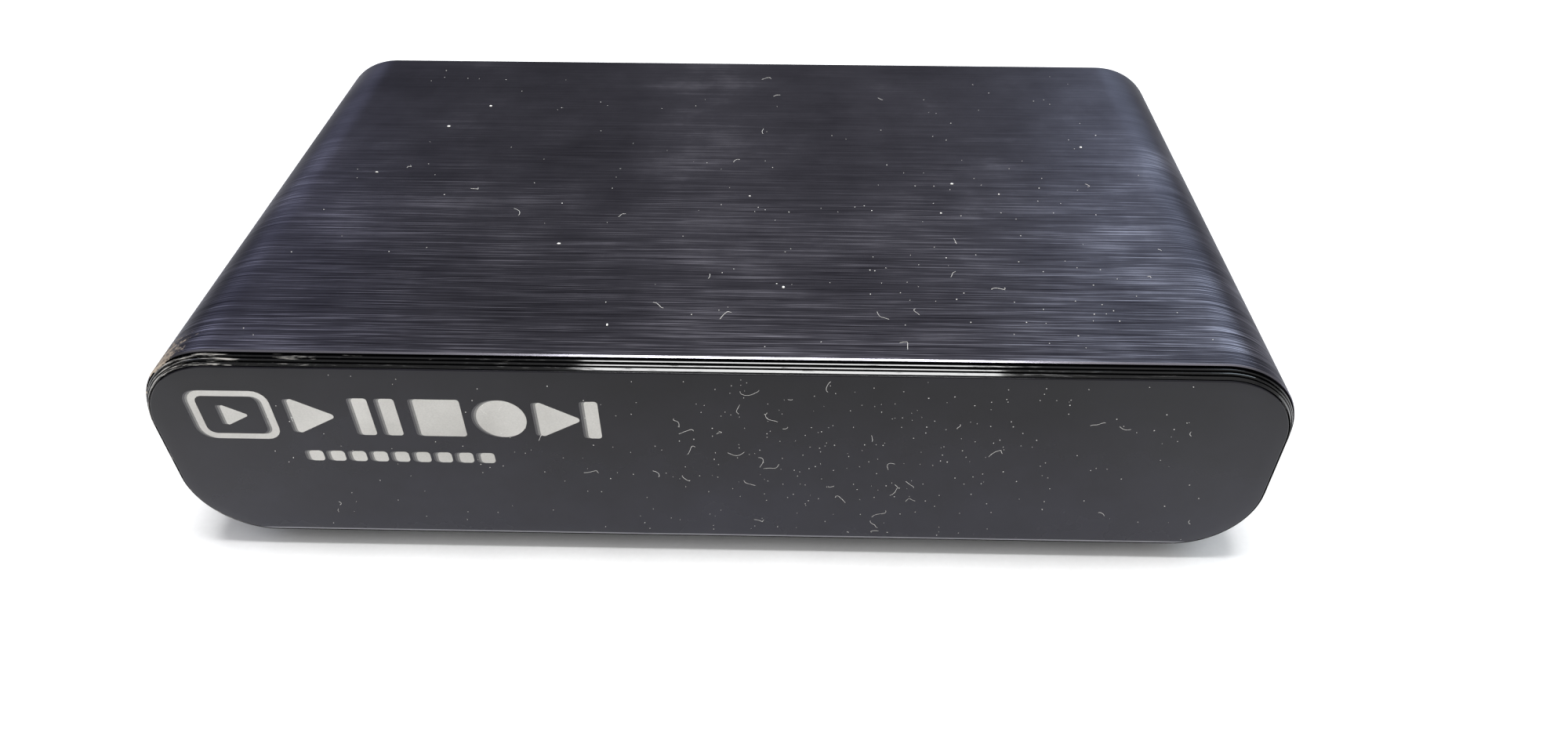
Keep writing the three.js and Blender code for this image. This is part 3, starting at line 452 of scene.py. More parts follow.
def smoked_acrylic():
    """Cast acrylic sheet, smoked grey and painted black behind: flat, even and satin. A random haze greys it
    unevenly. Its colour is also painted darker along the top and lighter towards its foot, as a painted
    reflection, and a thin painted highlight runs along its very foot."""
    material, tree, bsdf, place = surface("smoked_acrylic", IOR=1.49, Specular_IOR_Level=0.3)
    haze = layered_noise(tree, place, [(24, 24, 0.6, 3), (5, 5, 0.4, 3)])
    wipes = layered_noise(tree, place, [(0.4, 0.4, 1.0, 2)])
    z = add(tree, "ShaderNodeSeparateXYZ", {"Vector": place}, "Z")
    # Painted reflection: the colour runs darker near the top and lighter towards the foot.
    low = add(tree, "ShaderNodeMapRange", [z, panel_high.z - 2 * MM, panel_low.z, -0.08, 0.2])
    # A thin painted highlight along the very foot of the sheet, light grey where its bottom edge catches the
    # light.
    foot = add(tree, "ShaderNodeMapRange", [z, panel_low.z + 0.4 * MM, panel_low.z + 0.2 * MM, 0.3, 0.8])
    low = add(tree, "ShaderNodeMath", [low, foot], operation="ADD")
    # film adds the random haze to the painted reflection and the painted highlight; its lightest stop paints
    # the highlight.
    film = add(tree, "ShaderNodeMath", [haze, 0.4, low], operation="MULTIPLY_ADD")
    colour = add(tree, "ShaderNodeValToRGB", {"Fac": film}, stops=[
        (0.4, "#09080f"), (0.52, "#18171f"), (0.72, "#272732"), (0.85, "#2b2b35"), (1.0, "#85858b")])
    rough = add(tree, "ShaderNodeMapRange", [film, 0.4, 0.75, 0.16, 0.3])
    finished(tree, bsdf, colour, rough, wipes, 0.06, 0.02)
    return material


def screen_ink():
    """Warm grey screen ink on the panel: matt, with the weave of the screen along its edges."""
    return grained("screen_printing_ink", ("#b9b7b2", "#d2d0cb"), 0.16, (0.5, 0.62), 0.01, IOR=1.5)


def nickel_plate():
    """Nickel-plated steel, drawn and turned: bright, slightly warm, with fine turning lines."""
    material, tree, bsdf, place = surface("nickel_plated_steel", Metallic=1.0)
    lines = layered_noise(tree, place, [(6, 0.12, 0.5, 2), (3, 3, 0.5, 4)])
    colour = add(tree, "ShaderNodeValToRGB", {"Fac": lines}, stops=[(0.35, "#8f8c86"), (0.65, "#c9c6bf")])
    rough = add(tree, "ShaderNodeMapRange", [lines, 0.35, 0.65, 0.36, 0.2])
    finished(tree, bsdf, colour, rough, lines, 0.12, 0.02)
    return material


def textured_abs():
    """Black ABS from a spark-eroded tool: an even, fine pebble that takes the shine off."""
    return grained("spark_textured_black_abs", ("#0d0d0f", "#1c1c1f"), 0.35, (0.42, 0.62), 0.05, IOR=1.53)


ANODISED = anodised_aluminium()
GLOSS_BLACK = gloss_black_abs()
SMOKED = smoked_acrylic()
INK = screen_ink()
NICKEL = nickel_plate()
TEXTURED = textured_abs()
# Black-zinc screws: passivated plating, dark with a dull metallic edge.
BLACK_ZINC = grained("black_zinc_plated_steel", ("#1a1a1d", "#3a3a3e"), 0.5, (0.28, 0.48), 0.02,
                     Metallic=1.0)
# Moulded rubber: matt black with a bloom of grey.
RUBBER = grained("moulded_black_rubber", ("#0f0f0f", "#262625"), 0.3, (0.72, 0.92), 0.05, IOR=1.52)
# Polyester label film: pale, nearly matt, slightly yellowed.
LABEL = grained("polyester_label_film", ("#a9a9a4", "#c9c8c2"), 0.5, (0.42, 0.58), 0.01, IOR=1.58)
# Gold flash over nickel: warm yellow, bright and smooth.
GOLD = grained("gold_plated_brass", ("#b98a35", "#e0b75c"), 0.6, (0.18, 0.34), 0.01, Metallic=1.0)
# Moulded nylon: cream, with a waxy surface.
NYLON = grained("moulded_pale_nylon", ("#cfccbf", "#eae7dc"), 0.5, (0.4, 0.55), 0.02, IOR=1.53)
# Woven glass laminate under green solder resist: a semi-gloss green with a faint mottle.
LAMINATE = grained("green_solder_resist", ("#123f26", "#1f6a3f"), 0.9, (0.28, 0.45), 0.02, IOR=1.55)
# Tinned sheet steel: grey, with soft blotches where the tin froze.
TINPLATE = grained("tinplate", ("#8f918f", "#c6c8c6"), 2.0, (0.25, 0.42), 0.02, Metallic=1.0)
# Anodised fins: an even, dull black that still shines like metal.
BLACK_FINS = grained("black_anodised_extrusion", ("#17181a", "#303236"), 0.4, (0.4, 0.6), 0.02,
                     Metallic=1.0)
# Cast silicone: chalky blue, with no shine.
SILICONE = grained("silicone_pad", ("#7e95a1", "#a3b8c3"), 0.3, (0.8, 0.95), 0.03, IOR=1.41)
# Transfer-moulded epoxy: near black, with the fine grain of its filler.
EPOXY = grained("moulded_chip_epoxy", ("#131416", "#25262a"), 0.12, (0.5, 0.7), 0.02, IOR=1.56)
# Heat-shrunk film: blue-black and slightly glossy.
PRINTED_FILM = grained("shrunk_sleeve_film", ("#171b25", "#2a3040"), 1.0, (0.3, 0.42), 0.01, IOR=1.57)
# Pressed and sintered powder: dull grey, finely rough.
FERRITE = grained("pressed_ferrite", ("#2a2a2c", "#454548"), 0.2, (0.7, 0.9), 0.05, IOR=1.6)
# Cast, dyed epoxy lenses: smooth and glossy, the infrared one almost black.
DARK_LENS = grained("dark_red_epoxy_lens", ("#1c0c0e", "#34161a"), 1.5, (0.08, 0.16), 0.005, IOR=1.54)
RED_LENS = grained("red_epoxy_lens", ("#8e1510", "#c42a20"), 1.5, (0.1, 0.2), 0.005, IOR=1.54)
# Extruded vinyl insulation: plain grey, satin.
RIBBON = grained("ribbon_cable_vinyl", ("#8a8a88", "#adadaa"), 0.8, (0.45, 0.6), 0.03, IOR=1.53)
# Closed-cell foam tape: flat black.
TAPE_FOAM = grained("black_foam_tape", ("#121212", "#242424"), 0.4, (0.85, 0.95), 0.05, IOR=1.5)
# Loose cotton fibre and house dust: off-white, quite matt.
LINT = grained("cotton_lint", ("#d2d0cc", "#fbf9f5"), 0.3, (0.85, 0.95), 0.01, IOR=1.5)


# ---- Geometry Nodes

def new_tree(name, sizes):
    """A Geometry Nodes tree with named inputs, given as (name, kind of socket). Returns the tree
    and its inputs' outputs by name."""
    tree = bpy.data.node_groups.new(name, "GeometryNodeTree")
    tree.interface.new_socket("Geometry", in_out="INPUT", socket_type="NodeSocketGeometry")
    for label, kind in sizes:
        tree.interface.new_socket(label, in_out="INPUT", socket_type="NodeSocket" + kind)
    tree.interface.new_socket("Geometry", in_out="OUTPUT", socket_type="NodeSocketGeometry")
    start = tree.nodes.new("NodeGroupInput")
    return tree, start.outputs


def end_tree(tree, geometry, material):
    """Ends a tree in real geometry with its finish."""
    real = add(tree, "GeometryNodeRealizeInstances", {"Geometry": geometry})
    done = add(tree, "GeometryNodeSetMaterial", {"Geometry": real, "Material": material})
    finish = tree.nodes.new("NodeGroupOutput")
    tree.links.new(done, finish.inputs["Geometry"])


def grown(host, tree, values):
    """Runs a tree on an object, whose mesh becomes the result, with no modifier left on it."""
    modifier = host.modifiers.new(tree.name, "NODES")
    modifier.node_group = tree
    for item in tree.interface.items_tree:
        if item.in_out == "INPUT" and item.name in values:
            modifier[item.identifier] = values[item.name]
    depsgraph = bpy.context.evaluated_depsgraph_get()
    result = host.evaluated_get(depsgraph)
    mesh = bpy.data.meshes.new_from_object(result, depsgraph=depsgraph)
    host.modifiers.clear()
    host.data = mesh
    return host


def wire(name, points, closed=True):
    """An object that is only a line of edges through points."""
    mesh = bpy.data.meshes.new(name)
    edges = [(i, i + 1) for i in range(len(points) - 1)]
    if closed:
        edges.append((len(points) - 1, 0))
    mesh.from_pydata(points, edges, [])
    return linked(name, mesh)


def section_sweep_tree():
    """Carries a profile round the rounded-rectangle section that the sleeve is drawn to."""
    tree, given = new_tree("sweep_round_section", [
        ("Section Width", "Float"), ("Section Height", "Float"), ("Corner Radius", "Float"),
        ("Point Spacing", "Float"), ("Section Middle", "Float"), ("Finish", "Material")])
    outline = add(tree, "GeometryNodeCurvePrimitiveQuadrilateral", {
        "Width": given["Section Width"], "Height": given["Section Height"]})
    rounded_path = add(tree, "GeometryNodeFilletCurve", {
        "Curve": outline, "Radius": given["Corner Radius"], "Count": CORNER_POINTS}, mode="POLY")
    path = add(tree, "GeometryNodeResampleCurve", {
        "Curve": rounded_path, "Length": given["Point Spacing"]}, mode="LENGTH")
    profile = add(tree, "GeometryNodeMeshToCurve", {"Mesh": given["Geometry"]})
    skin = add(tree, "GeometryNodeCurveToMesh", {"Curve": path, "Profile Curve": profile})
    lift = add(tree, "ShaderNodeCombineXYZ", {"Z": given["Section Middle"]})
    upright = add(tree, "GeometryNodeTransform", {
        "Geometry": skin, "Rotation": (math.radians(90), 0, 0), "Translation": lift})
    end_tree(tree, upright, given["Finish"])
    return tree


SECTION_SWEEP = section_sweep_tree()


def swept(name, profile, material, closed=True):
    """A skin from a profile of (inset, y) carried round the section."""
    host = wire(name, [(-inset, y, 0.0) for inset, y in profile], closed)
    return grown(host, SECTION_SWEEP, {
        "Section Width": SLEEVE_WIDTH, "Section Height": SLEEVE_HEIGHT,
        "Corner Radius": SLEEVE_RADIUS, "Point Spacing": SWEEP_SPACING,
        "Section Middle": SLEEVE_MIDDLE, "Finish": material})


def open_loops(bm):
    """The open edge loops of a skin, each as a list of vertices, ordered by their place in y."""
    edges = {edge for edge in bm.edges if edge.is_boundary}
    loops = []
    while edges:
        edge = edges.pop()
        loop = [edge.verts[0], edge.verts[1]]
        while True:
            found = [e for e in loop[-1].link_edges if e in edges]
            if not found:
                break
            edges.discard(found[0])
            loop.append(found[0].other_vert(loop[-1]))
        loops.append(loop[:-1] if loop[0] == loop[-1] else loop)
    return sorted(loops, key=lambda loop: loop[0].co.y)


def facet(inset, y, width, outward):
    """The two ends of a narrow bevel, sloping in and outwards from a point of a profile."""
    return [(inset, y), (inset + width * math.sin(FACET_TILT), y + outward * width * math.cos(FACET_TILT))]


# ---- Sleeve

def make_sleeve():
    """The extrusion: outer skin, softened cut ends and inner wall."""
    edge, inner, front, rear = SLEEVE_EDGE, SLEEVE_INNER_EDGE, SLEEVE_FRONT, SLEEVE_REAR
    bevel = facet(0.0, front + SLEEVE_FACET, SLEEVE_FACET, -1)
    profile = [(bevel[1][0] + 0.05 * MM, front), *reversed(bevel)]
    for step in range(1, SIDE_PARTS):
        profile.append((0.0, front + edge + (rear - front - 2 * edge) * step / SIDE_PARTS))
    profile += edge_round((edge, rear - edge), edge, 180, -90)
    profile += [(SLEEVE_WALL - inner, rear), (SLEEVE_WALL, rear - inner)]
    profile += [(SLEEVE_WALL, front + inner), (SLEEVE_WALL - inner, front)]
    piece = reworked(swept("sleeve_shell", profile, ANODISED))
    dress(piece, ANODISED, ["sleeve"], BEVEL_ANGLE)


make_sleeve()


# ---- Bezel and rear cover

def stepped_profile(face, outward):
    """The fine steps, from the sleeve outwards. Each has a narrow groove at its foot and a polished
    bevel at its brow."""
    points = [(FIRST_INSET, face)]
    for index, width in enumerate(STEP_FACETS):
        inset = FIRST_INSET + index * STEP_INSET
        end = face + outward * STEP_DEPTH * (index + 1)
        if index:
            tread = end - outward * STEP_DEPTH
            sunk = tread - outward * GROOVE_DEPTH
            points += [(inset - GROOVE_WIDTH, tread), (inset - GROOVE_WIDTH, sunk), (inset, sunk)]
        brow = end - outward * (STEP_ROUND + width * math.cos(FACET_TILT))
        points += facet(inset, brow, width, outward)
        corner = points[-1][0]
        points.append((corner + 1.5 * STEP_ROUND, end))
    return points


def span(node):
    """Width and height of a CAD node's box."""
    low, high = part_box(node)
    return high.x - low.x, high.z - low.z


def round_hole(node, radius, count):
    """A round hole about a CAD node's axis."""
    axis = centre(node)
    return lambda grow: circle(radius + grow, (axis.x, axis.z), count)


def square_hole(node, corner):
    """A hole with rounded corners that clears a CAD node's box by the socket gap."""
    axis, size = centre(node), span(node)
    return lambda grow: box_outline(
        *(side + 2 * (SOCKET_GAP + grow) for side in size), corner, (axis.x, axis.z))


def display_holes():
    """Windows behind the panel for the digits, the infrared receiver and the power light."""
    light = span("power_led")[0] / 2
    return [square_hole("digit_display", 0.4 * MM),
            round_hole("infrared_receiver", EYE_RADIUS + SOCKET_GAP, WINDOW_SIDES),
            round_hole("power_led", light + SOCKET_GAP, WINDOW_SIDES)]


def make_bezel():
    """The glossy bezel: fine steps round a recess, and the plate that locates in the sleeve."""
    lip = PANEL_INSET - PANEL_GAP
    floor = PANEL_BACK + TAPE
    plate = SLEEVE_FRONT + PLATE_THICKNESS
    profile = [(FILL_INSET, plate), (PLATE_INSET, plate), (PLATE_INSET, SLEEVE_FRONT)]
    profile += stepped_profile(SLEEVE_FRONT, -1)
    profile += edge_round((lip - LIP_ROUND, BEZEL_FACE + LIP_ROUND), LIP_ROUND, 270, 90, 3)
    profile += [(lip, floor), (FILL_INSET, floor)]
    piece = reworked(swept("stepped_bezel", profile, GLOSS_BLACK, closed=False),
                     lambda bm: close_plate(bm, *open_loops(bm), display_holes()))
    dress(piece, GLOSS_BLACK, ["front_bezel"], BEVEL_ANGLE)


REAR_SCREWS = [f"rear_screw_{side}_{level}" for level in ("bottom", "top") for side in ("left", "right")]


def make_rear_cover():
    """The moulded rear cover: the same fine steps, then a flat face with the socket openings, and
    a plate behind it that locates between the screw channels."""
    screws = [round_hole(node, SCREW_HOLE, SCREW_SIDES) for node in REAR_SCREWS]
    sockets = [round_hole(node, AERIAL_RADIUS + SOCKET_GAP, AERIAL_SIDES)
               for node in ("antenna_in_shell", "antenna_out_shell")]
    sockets += [round_hole("av_jack_body", JACK_RADIUS + SOCKET_GAP, JACK_SIDES),
                round_hole("dc_jack_body", SUPPLY_HOLE, JACK_SIDES)]
    sockets += [square_hole(node, 0.5 * MM) for node in ("hdmi_shell", "usb_shell")]
    width = 2 * (centre("rear_screw_right_top").x - LOCATING_SIDE)
    height = SLEEVE_HEIGHT - 2 * PLATE_INSET
    outline = box_outline(width, height, LOCATING_CORNER, (0, SLEEVE_MIDDLE))

    def close(bm):
        inner, outer = open_loops(bm)
        close_plate(bm, outer, inner, screws + sockets)
        pierced_plate(bm, outline, SLEEVE_REAR, SLEEVE_REAR - PLATE_THICKNESS, sockets)

    profile = [(COVER_FILL_INSET, SLEEVE_REAR)] + stepped_profile(SLEEVE_REAR, 1)
    profile.append((COVER_FILL_INSET, REAR_FACE))
    piece = reworked(swept("rear_cover_moulding", profile, TEXTURED, closed=False), close)
    dress(piece, TEXTURED, ["rear_cover"])


make_bezel()
make_rear_cover()


# ---- Panel and its marks

def make_panel():
    """The smoked plate, with polished, softly bevelled edges."""
    edge = PANEL_EDGE
    profile = [(FILL_INSET, PANEL_BACK), (PANEL_INSET, PANEL_BACK)]
    profile += edge_round((PANEL_INSET + edge, PANEL_FACE + edge), edge, 180, 90)
    profile.append((FILL_INSET, PANEL_FACE))
    piece = reworked(swept("smoked_panel", profile, SMOKED, closed=False),
                     lambda bm: close_plate(bm, *open_loops(bm)))
    dress(piece, SMOKED, ["front_panel"])


# The signs: their row's height under the panel's top, and the sizes of each sign.
SIGN_ROW = 6.6 * MM
SIGN_HEIGHT = 5.2 * MM
SIGN_PITCH = 6.4 * MM
SIGN_CORNER = 0.35 * MM
FIRST_SIGN = 17.6 * MM
SCREEN_SIGN = 8.9 * MM
SCREEN_SIZE = (8.4 * MM, 6.8 * MM)
SCREEN_CORNER = 1.6 * MM
SCREEN_LINE = 0.75 * MM
SCREEN_INNER_CORNER = 0.9 * MM
PAUSE_BAR = 1.6 * MM
STOP_SIDE = 4.8 * MM
SKIP_BAR = 1.4 * MM
DASH_ROW = 12.4 * MM
DASH_SIZE = 1.5 * MM
DASH_CORNER = 0.4 * MM
DASH_PITCH = 2.3 * MM
DASH_COUNT = 9


def slab(bm, thickness, outline, hole=None):
    """A thin layer of ink in the shape of an outline, with or without a hole."""
    front, back = PANEL_FACE - thickness, PANEL_FACE
    walls = []
    for shape in (outline, hole) if hole else (outline,):
        walls.append((ring(bm, shape, front), ring(bm, shape, back)))
        bridge(bm, *walls[-1])
    fill_flat(bm, [wall[0] for wall in walls], (0, -1, 0))
    fill_flat(bm, [wall[1] for wall in walls], (0, 1, 0))


def make_marks(name, shift, thickness, material):
    """Plain signs in place of a printed name: a screen, then play, pause, stop, record and skip,
    and a row of dashes under them."""
    left, z = panel_low.x + shift, panel_high.z - SIGN_ROW
    screen_x, first = left + SCREEN_SIGN, left + FIRST_SIGN
    half, pitch = SIGN_HEIGHT / 2, SIGN_PITCH

    def triangle(x):
        return rounded([(x - half, z - half), (x + half * 0.8, z), (x - half, z + half)], SIGN_CORNER)

    def bar(x, width):
        return box_outline(width, SIGN_HEIGHT, SIGN_CORNER, (x, z))

    bm = bmesh.new()
    wide, high = SCREEN_SIZE
    slab(bm, thickness, box_outline(wide, high, SCREEN_CORNER, (screen_x, z)),
         box_outline(wide - 2 * SCREEN_LINE, high - 2 * SCREEN_LINE, SCREEN_INNER_CORNER,
                     (screen_x, z)))
    arrow = [(screen_x + x * MM, z + y * MM) for x, y in ((-1.1, -1.5), (1.6, 0.0), (-1.1, 1.5))]
    signs = [rounded(arrow, 0.2 * MM), triangle(first)]
    signs += [bar(first + pitch - 1.5 * MM, PAUSE_BAR), bar(first + pitch + 1.3 * MM, PAUSE_BAR)]
    signs += [bar(first + 2 * pitch, STOP_SIDE), circle(half, (first + 3 * pitch, z))]
    signs += [triangle(first + 4 * pitch), bar(first + 4 * pitch + half + 0.5 * MM, SKIP_BAR)]
    for index in range(DASH_COUNT):
        place = (first - half + 1.0 * MM + index * DASH_PITCH, panel_high.z - DASH_ROW)
        signs.append(box_outline(DASH_SIZE, DASH_SIZE, DASH_CORNER, place))
    for sign in signs:
        slab(bm, thickness, sign)
    new_piece(name, bm, material, ())


make_panel()
# The print sits behind the sheet, whose faces mirror it a little to the left, ever fainter. That reflection
# is painted: two grey copies of the marks, shifted left and fainter in turn.
FAINT_PAINTED_REFLECTION = grained("faint_painted_ink_reflection", ("#3d3c3f", "#504f51"), 0.3, (0.5, 0.6), 0.01, IOR=1.49)
PAINTED_REFLECTION = grained("painted_ink_reflection", ("#6d6c6c", "#858482"), 0.3, (0.5, 0.6), 0.01, IOR=1.49)
for mark_name, mark_shift, mark_thickness, mark_finish in (
        ("front_mark_ghosts_far", -0.5 * MM, 0.008 * MM, FAINT_PAINTED_REFLECTION),
        ("front_mark_ghosts_near", -0.25 * MM, 0.016 * MM, PAINTED_REFLECTION),
        ("front_marks", 0.0, 0.03 * MM, INK)):
    make_marks(mark_name, mark_shift, mark_thickness, mark_finish)


# ---- Rows of like pieces

def set_on_points_tree():
    """Sets a copy of one thing on every point, each turned by its own amount about an axis."""
    tree, given = new_tree("set_on_points", [
        ("Thing", "Object"), ("Turn Axis", "Vector"), ("Seed", "Int"), ("Finish", "Material")])
    thing = add(tree, "GeometryNodeObjectInfo", {"Object": given["Thing"]}, "Geometry")
    amount = add(tree, "FunctionNodeRandomValue", {"Min": 0.0, "Max": math.pi, "Seed": given["Seed"]},
                 1, data_type="FLOAT")
    turn = add(tree, "FunctionNodeAxisAngleToRotation", {"Axis": given["Turn Axis"], "Angle": amount})
    copies = add(tree, "GeometryNodeInstanceOnPoints", {
        "Points": given["Geometry"], "Instance": thing, "Rotation": turn})
    end_tree(tree, copies, given["Finish"])
    return tree


def contact_row_tree():
    """A row of flat spring contacts, each bent along the line given."""
    tree, given = new_tree("contact_row", [
        ("Count", "Int"), ("Pitch", "Float"), ("Contact Width", "Float"),
        ("Contact Thickness", "Float"), ("Finish", "Material")])
    line = add(tree, "GeometryNodeMeshToCurve", {"Mesh": given["Geometry"]})
    section = add(tree, "GeometryNodeCurvePrimitiveQuadrilateral", {
        "Width": given["Contact Width"], "Height": given["Contact Thickness"]})
    strip = add(tree, "GeometryNodeCurveToMesh", {
        "Curve": line, "Profile Curve": section, "Fill Caps": True})
    step = add(tree, "ShaderNodeCombineXYZ", {"X": given["Pitch"]})
    row = add(tree, "GeometryNodeMeshLine", {"Count": given["Count"], "Offset": step}, mode="OFFSET")
    copies = add(tree, "GeometryNodeInstanceOnPoints", {"Points": row, "Instance": strip})
    end_tree(tree, copies, given["Finish"])
    return tree


SET_ON_POINTS = set_on_points_tree()
CONTACT_ROW = contact_row_tree()


def set_out(name, bm, points, axis, material, replaced):
    """One thing, built at the origin, set on several points by Geometry Nodes."""
    one = linked(name + "_one", baked(name + "_one", bm))
    host_mesh = bpy.data.meshes.new(name)
    host_mesh.from_pydata(points, [], [])
    piece = grown(linked(name, host_mesh), SET_ON_POINTS, {
        "Thing": one, "Turn Axis": axis, "Seed": 3, "Finish": material})
    bpy.data.objects.remove(one)
    dress(piece, material, replaced)


def cross_outline(reach, width):
    """The twelve corners of a cross."""
    a, b = reach, width / 2
    return [(b, a), (-b, a), (-b, b), (-a, b), (-a, -b), (-b, -b),
            (-b, -a), (b, -a), (b, -b), (a, -b), (a, b), (b, b)]


def make_rear_screws():
    """Pan-head screws with a cross recess, one in each corner of the cover."""
    low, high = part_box(REAR_SCREWS[0])
    radius, height = span(REAR_SCREWS[0])[0] / 2, high.y - REAR_FACE
    shank, tip, rim, flat_top = 0.95 * MM, low.y - REAR_FACE, 0.1 * MM, 0.7 * MM
    profile = [(shank * 0.6, tip), (shank, tip + 0.4 * MM), (shank, 0.0)]
    profile += [(radius - rim, 0.0), (radius, rim)]
    for step in range(1, 6):
        angle = math.radians(15 * step)
        profile.append((radius - 0.62 * MM * (1 - math.cos(angle)),
                        rim + (height - rim) * math.sin(angle)))
    profile.append((radius - flat_top, height))
    bm = bmesh.new()
    rings = [ring(bm, circle(r, (0, 0), JACK_SIDES), y) for r, y in profile]
    ring_stack(bm, rings, True, False)
    mouth = ring(bm, cross_outline(1.2 * MM, 0.56 * MM), height)
    bottom = ring(bm, cross_outline(0.85 * MM, 0.36 * MM), height - 0.75 * MM)
    bridge(bm, mouth, bottom)
    bm.faces.new(bottom)
    fill_flat(bm, [rings[-1], mouth], (0, 1, 0))
    points = [(centre(name).x, REAR_FACE, centre(name).z) for name in REAR_SCREWS]
    set_out("rear_screw_set", bm, points, (0, 1, 0), BLACK_ZINC, REAR_SCREWS)


def make_feet():
    """Moulded feet: rounded at the rim, dished underneath so that they stand on a ring."""
    names = [f"foot_{end}_{side}" for end in ("front", "rear") for side in ("left", "right")]
    low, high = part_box(names[0])
    radius, height = (high.x - low.x) / 2, high.z - low.z
    rim = 0.5 * MM
    profile = [(radius * 0.05, 0.25 * MM), (radius * 0.55, 0.22 * MM), (radius * 0.68, 0.0)]
    profile += edge_round((radius - rim, rim), rim, 270, 90)
    profile += [(radius, height - 0.15 * MM), (radius - 0.1 * MM, height)]
    bm = bmesh.new()
    turned(bm, profile, (0, 0), "Z")
    points = [(centre(name).x, centre(name).y, low.z) for name in names]
    set_out("foot_set", bm, points, (0, 0, 1), RUBBER, names)


def make_label():
    """A blank label with rounded corners under the sleeve."""
    low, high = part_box("base_label")
    middle = centre("base_label")
    bm = bmesh.new()
    rings = []
    for inset, z in ((0.0, high.z), (0.0, low.z + 0.04 * MM), (0.05 * MM, low.z)):
        outline = box_outline(high.x - low.x - 2 * inset, high.y - low.y - 2 * inset, 2 * MM,
                              (middle.x, middle.y), 8)
        rings.append([bm.verts.new((x, y, z)) for x, y in outline])
    ring_stack(bm, rings)
    new_piece("blank_label", bm, LABEL, ["base_label"])


make_rear_screws()
make_feet()
make_label()


# ---- Sockets

# Profiles of turned pieces list (radius, place along Y) in millimetres, from the place that
# placed() is given.

def placed(profile, y):
    """A profile in millimetres, in metres from a place along Y."""
    return [(radius * MM, y + along * MM) for radius, along in profile]


def tube_piece(name, profile, node, material, replaced, count=AERIAL_SIDES):
    """A turned ring or tube about a CAD node's axis: its profile closes on itself."""
    axis = centre(node)
    bm = bmesh.new()
    rings = [ring(bm, circle(radius, (axis.x, axis.z), count), y) for radius, y in profile]
    ring_stack(bm, rings + [rings[0]], False, False)
    new_piece(name, bm, material, replaced, TURNED_ANGLE)


def make_aerial_sockets():
    """The female aerial input, and the male output beside it, both turned and plated. Each has a
    flange by which it is riveted to the tuner can."""
    flange = [(2.6, 0.0), (6.8, 0.0), (6.9, 0.1), (6.9, 0.5), (6.8, 0.6), (6.4, 0.6)]
    input_tip = [(6.4, -1.9), (6.25, -1.75), (6.25, -1.5), (6.4, -1.35), (6.4, -0.45), (6.1, -0.1),
                 (5.9, 0.0), (5.1, 0.0), (4.8, -0.3)]
    output_collar = [(6.4, 1.35), (6.2, 1.6), (4.95, 1.6), (4.75, 1.75)]
    output_tip = [(4.75, -0.3), (4.68, -0.1), (4.55, 0.0), (4.45, 0.0), (4.3, -0.15)]
    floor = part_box("antenna_in_shell")[0].y + 0.6 * MM
    for way, collar, tip, bore in (("in", [], input_tip, 4.8), ("out", output_collar, output_tip, 4.3)):
        node = f"antenna_{way}_shell"
        low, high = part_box(node)
        profile = placed(flange, low.y) + placed(collar, REAR_FACE) + placed(tip, high.y)
        profile += placed([(bore, 0.0), (2.6, 0.0)], floor)
        tube_piece(f"aerial_{way}put_shell", profile, node, NICKEL, [node])
    for way, outer, hole in (("in", 4.7, 2.1), ("out", 4.2, 1.3)):
        node = f"antenna_{way}_insulator"
        low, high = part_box(node)
        profile = placed([(hole, 0.0), (outer, 0.0)], low.y) + placed(
            [(outer, -0.2), (outer - 0.2, 0.0), (hole + 0.15, 0.0), (hole, -0.15)], high.y)
        tube_piece(f"aerial_{way}_insulator", profile, node, NYLON, [node])


def turned_piece(name, profile, node, material):
    """A solid turned about Y, in place of a CAD node."""
    bm = bmesh.new()
    axis = centre(node)
    turned(bm, profile, (axis.x, axis.z), "Y", WINDOW_SIDES)
    new_piece(name, bm, material, [node], TURNED_ANGLE)


def make_pins():
    """The hollow centre contact of the aerial input, and the round-nosed pins of the output and of
    the supply socket."""
    low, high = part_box("antenna_in_contact")
    profile = placed([(1.9, 0.0), (2.0, 0.1)], low.y) + placed(
        [(2.0, -0.35), (1.85, -0.1), (1.7, 0.0), (1.4, 0.0), (1.2, -0.25), (1.2, -8.0), (0.1, -8.0)], high.y)
    turned_piece("aerial_centre_contact", profile, "antenna_in_contact", GOLD)
    nose, nose_radius = 1.1 * MM, 0.35 * MM
    for name, node in (("aerial_output_pin", "antenna_out_pin"), ("supply_pin", "dc_jack_pin")):
        low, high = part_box(node)
        radius = span(node)[0] / 2
        profile = [(radius, low.y), (radius, high.y - nose)]
        for step in range(1, 7):
            angle = math.radians(15 * step)
            profile.append((radius - (radius - nose_radius) * (1 - math.cos(angle)),
                            high.y - nose + nose * math.sin(angle)))
        turned_piece(name, profile, node, NICKEL)


def shell_piece(name, outlines, node):
    """A socket shell folded from sheet: outlines gives its section, taken in by a distance."""
    low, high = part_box(node)
    mouth, back = high.y, low.y
    wall, lip, turn = 0.4 * MM, 0.1 * MM, 0.03 * MM
    stations = [(0.0, back), (0.0, mouth - lip), (turn, mouth - turn), (lip, mouth),
                (wall - lip, mouth), (wall - turn, mouth - turn), (wall, mouth - lip), (wall, back + wall)]
    bm = bmesh.new()
    ring_stack(bm, [ring(bm, outlines(inset), y) for inset, y in stations])
    new_piece(name, bm, NICKEL, [node], TURNED_ANGLE)


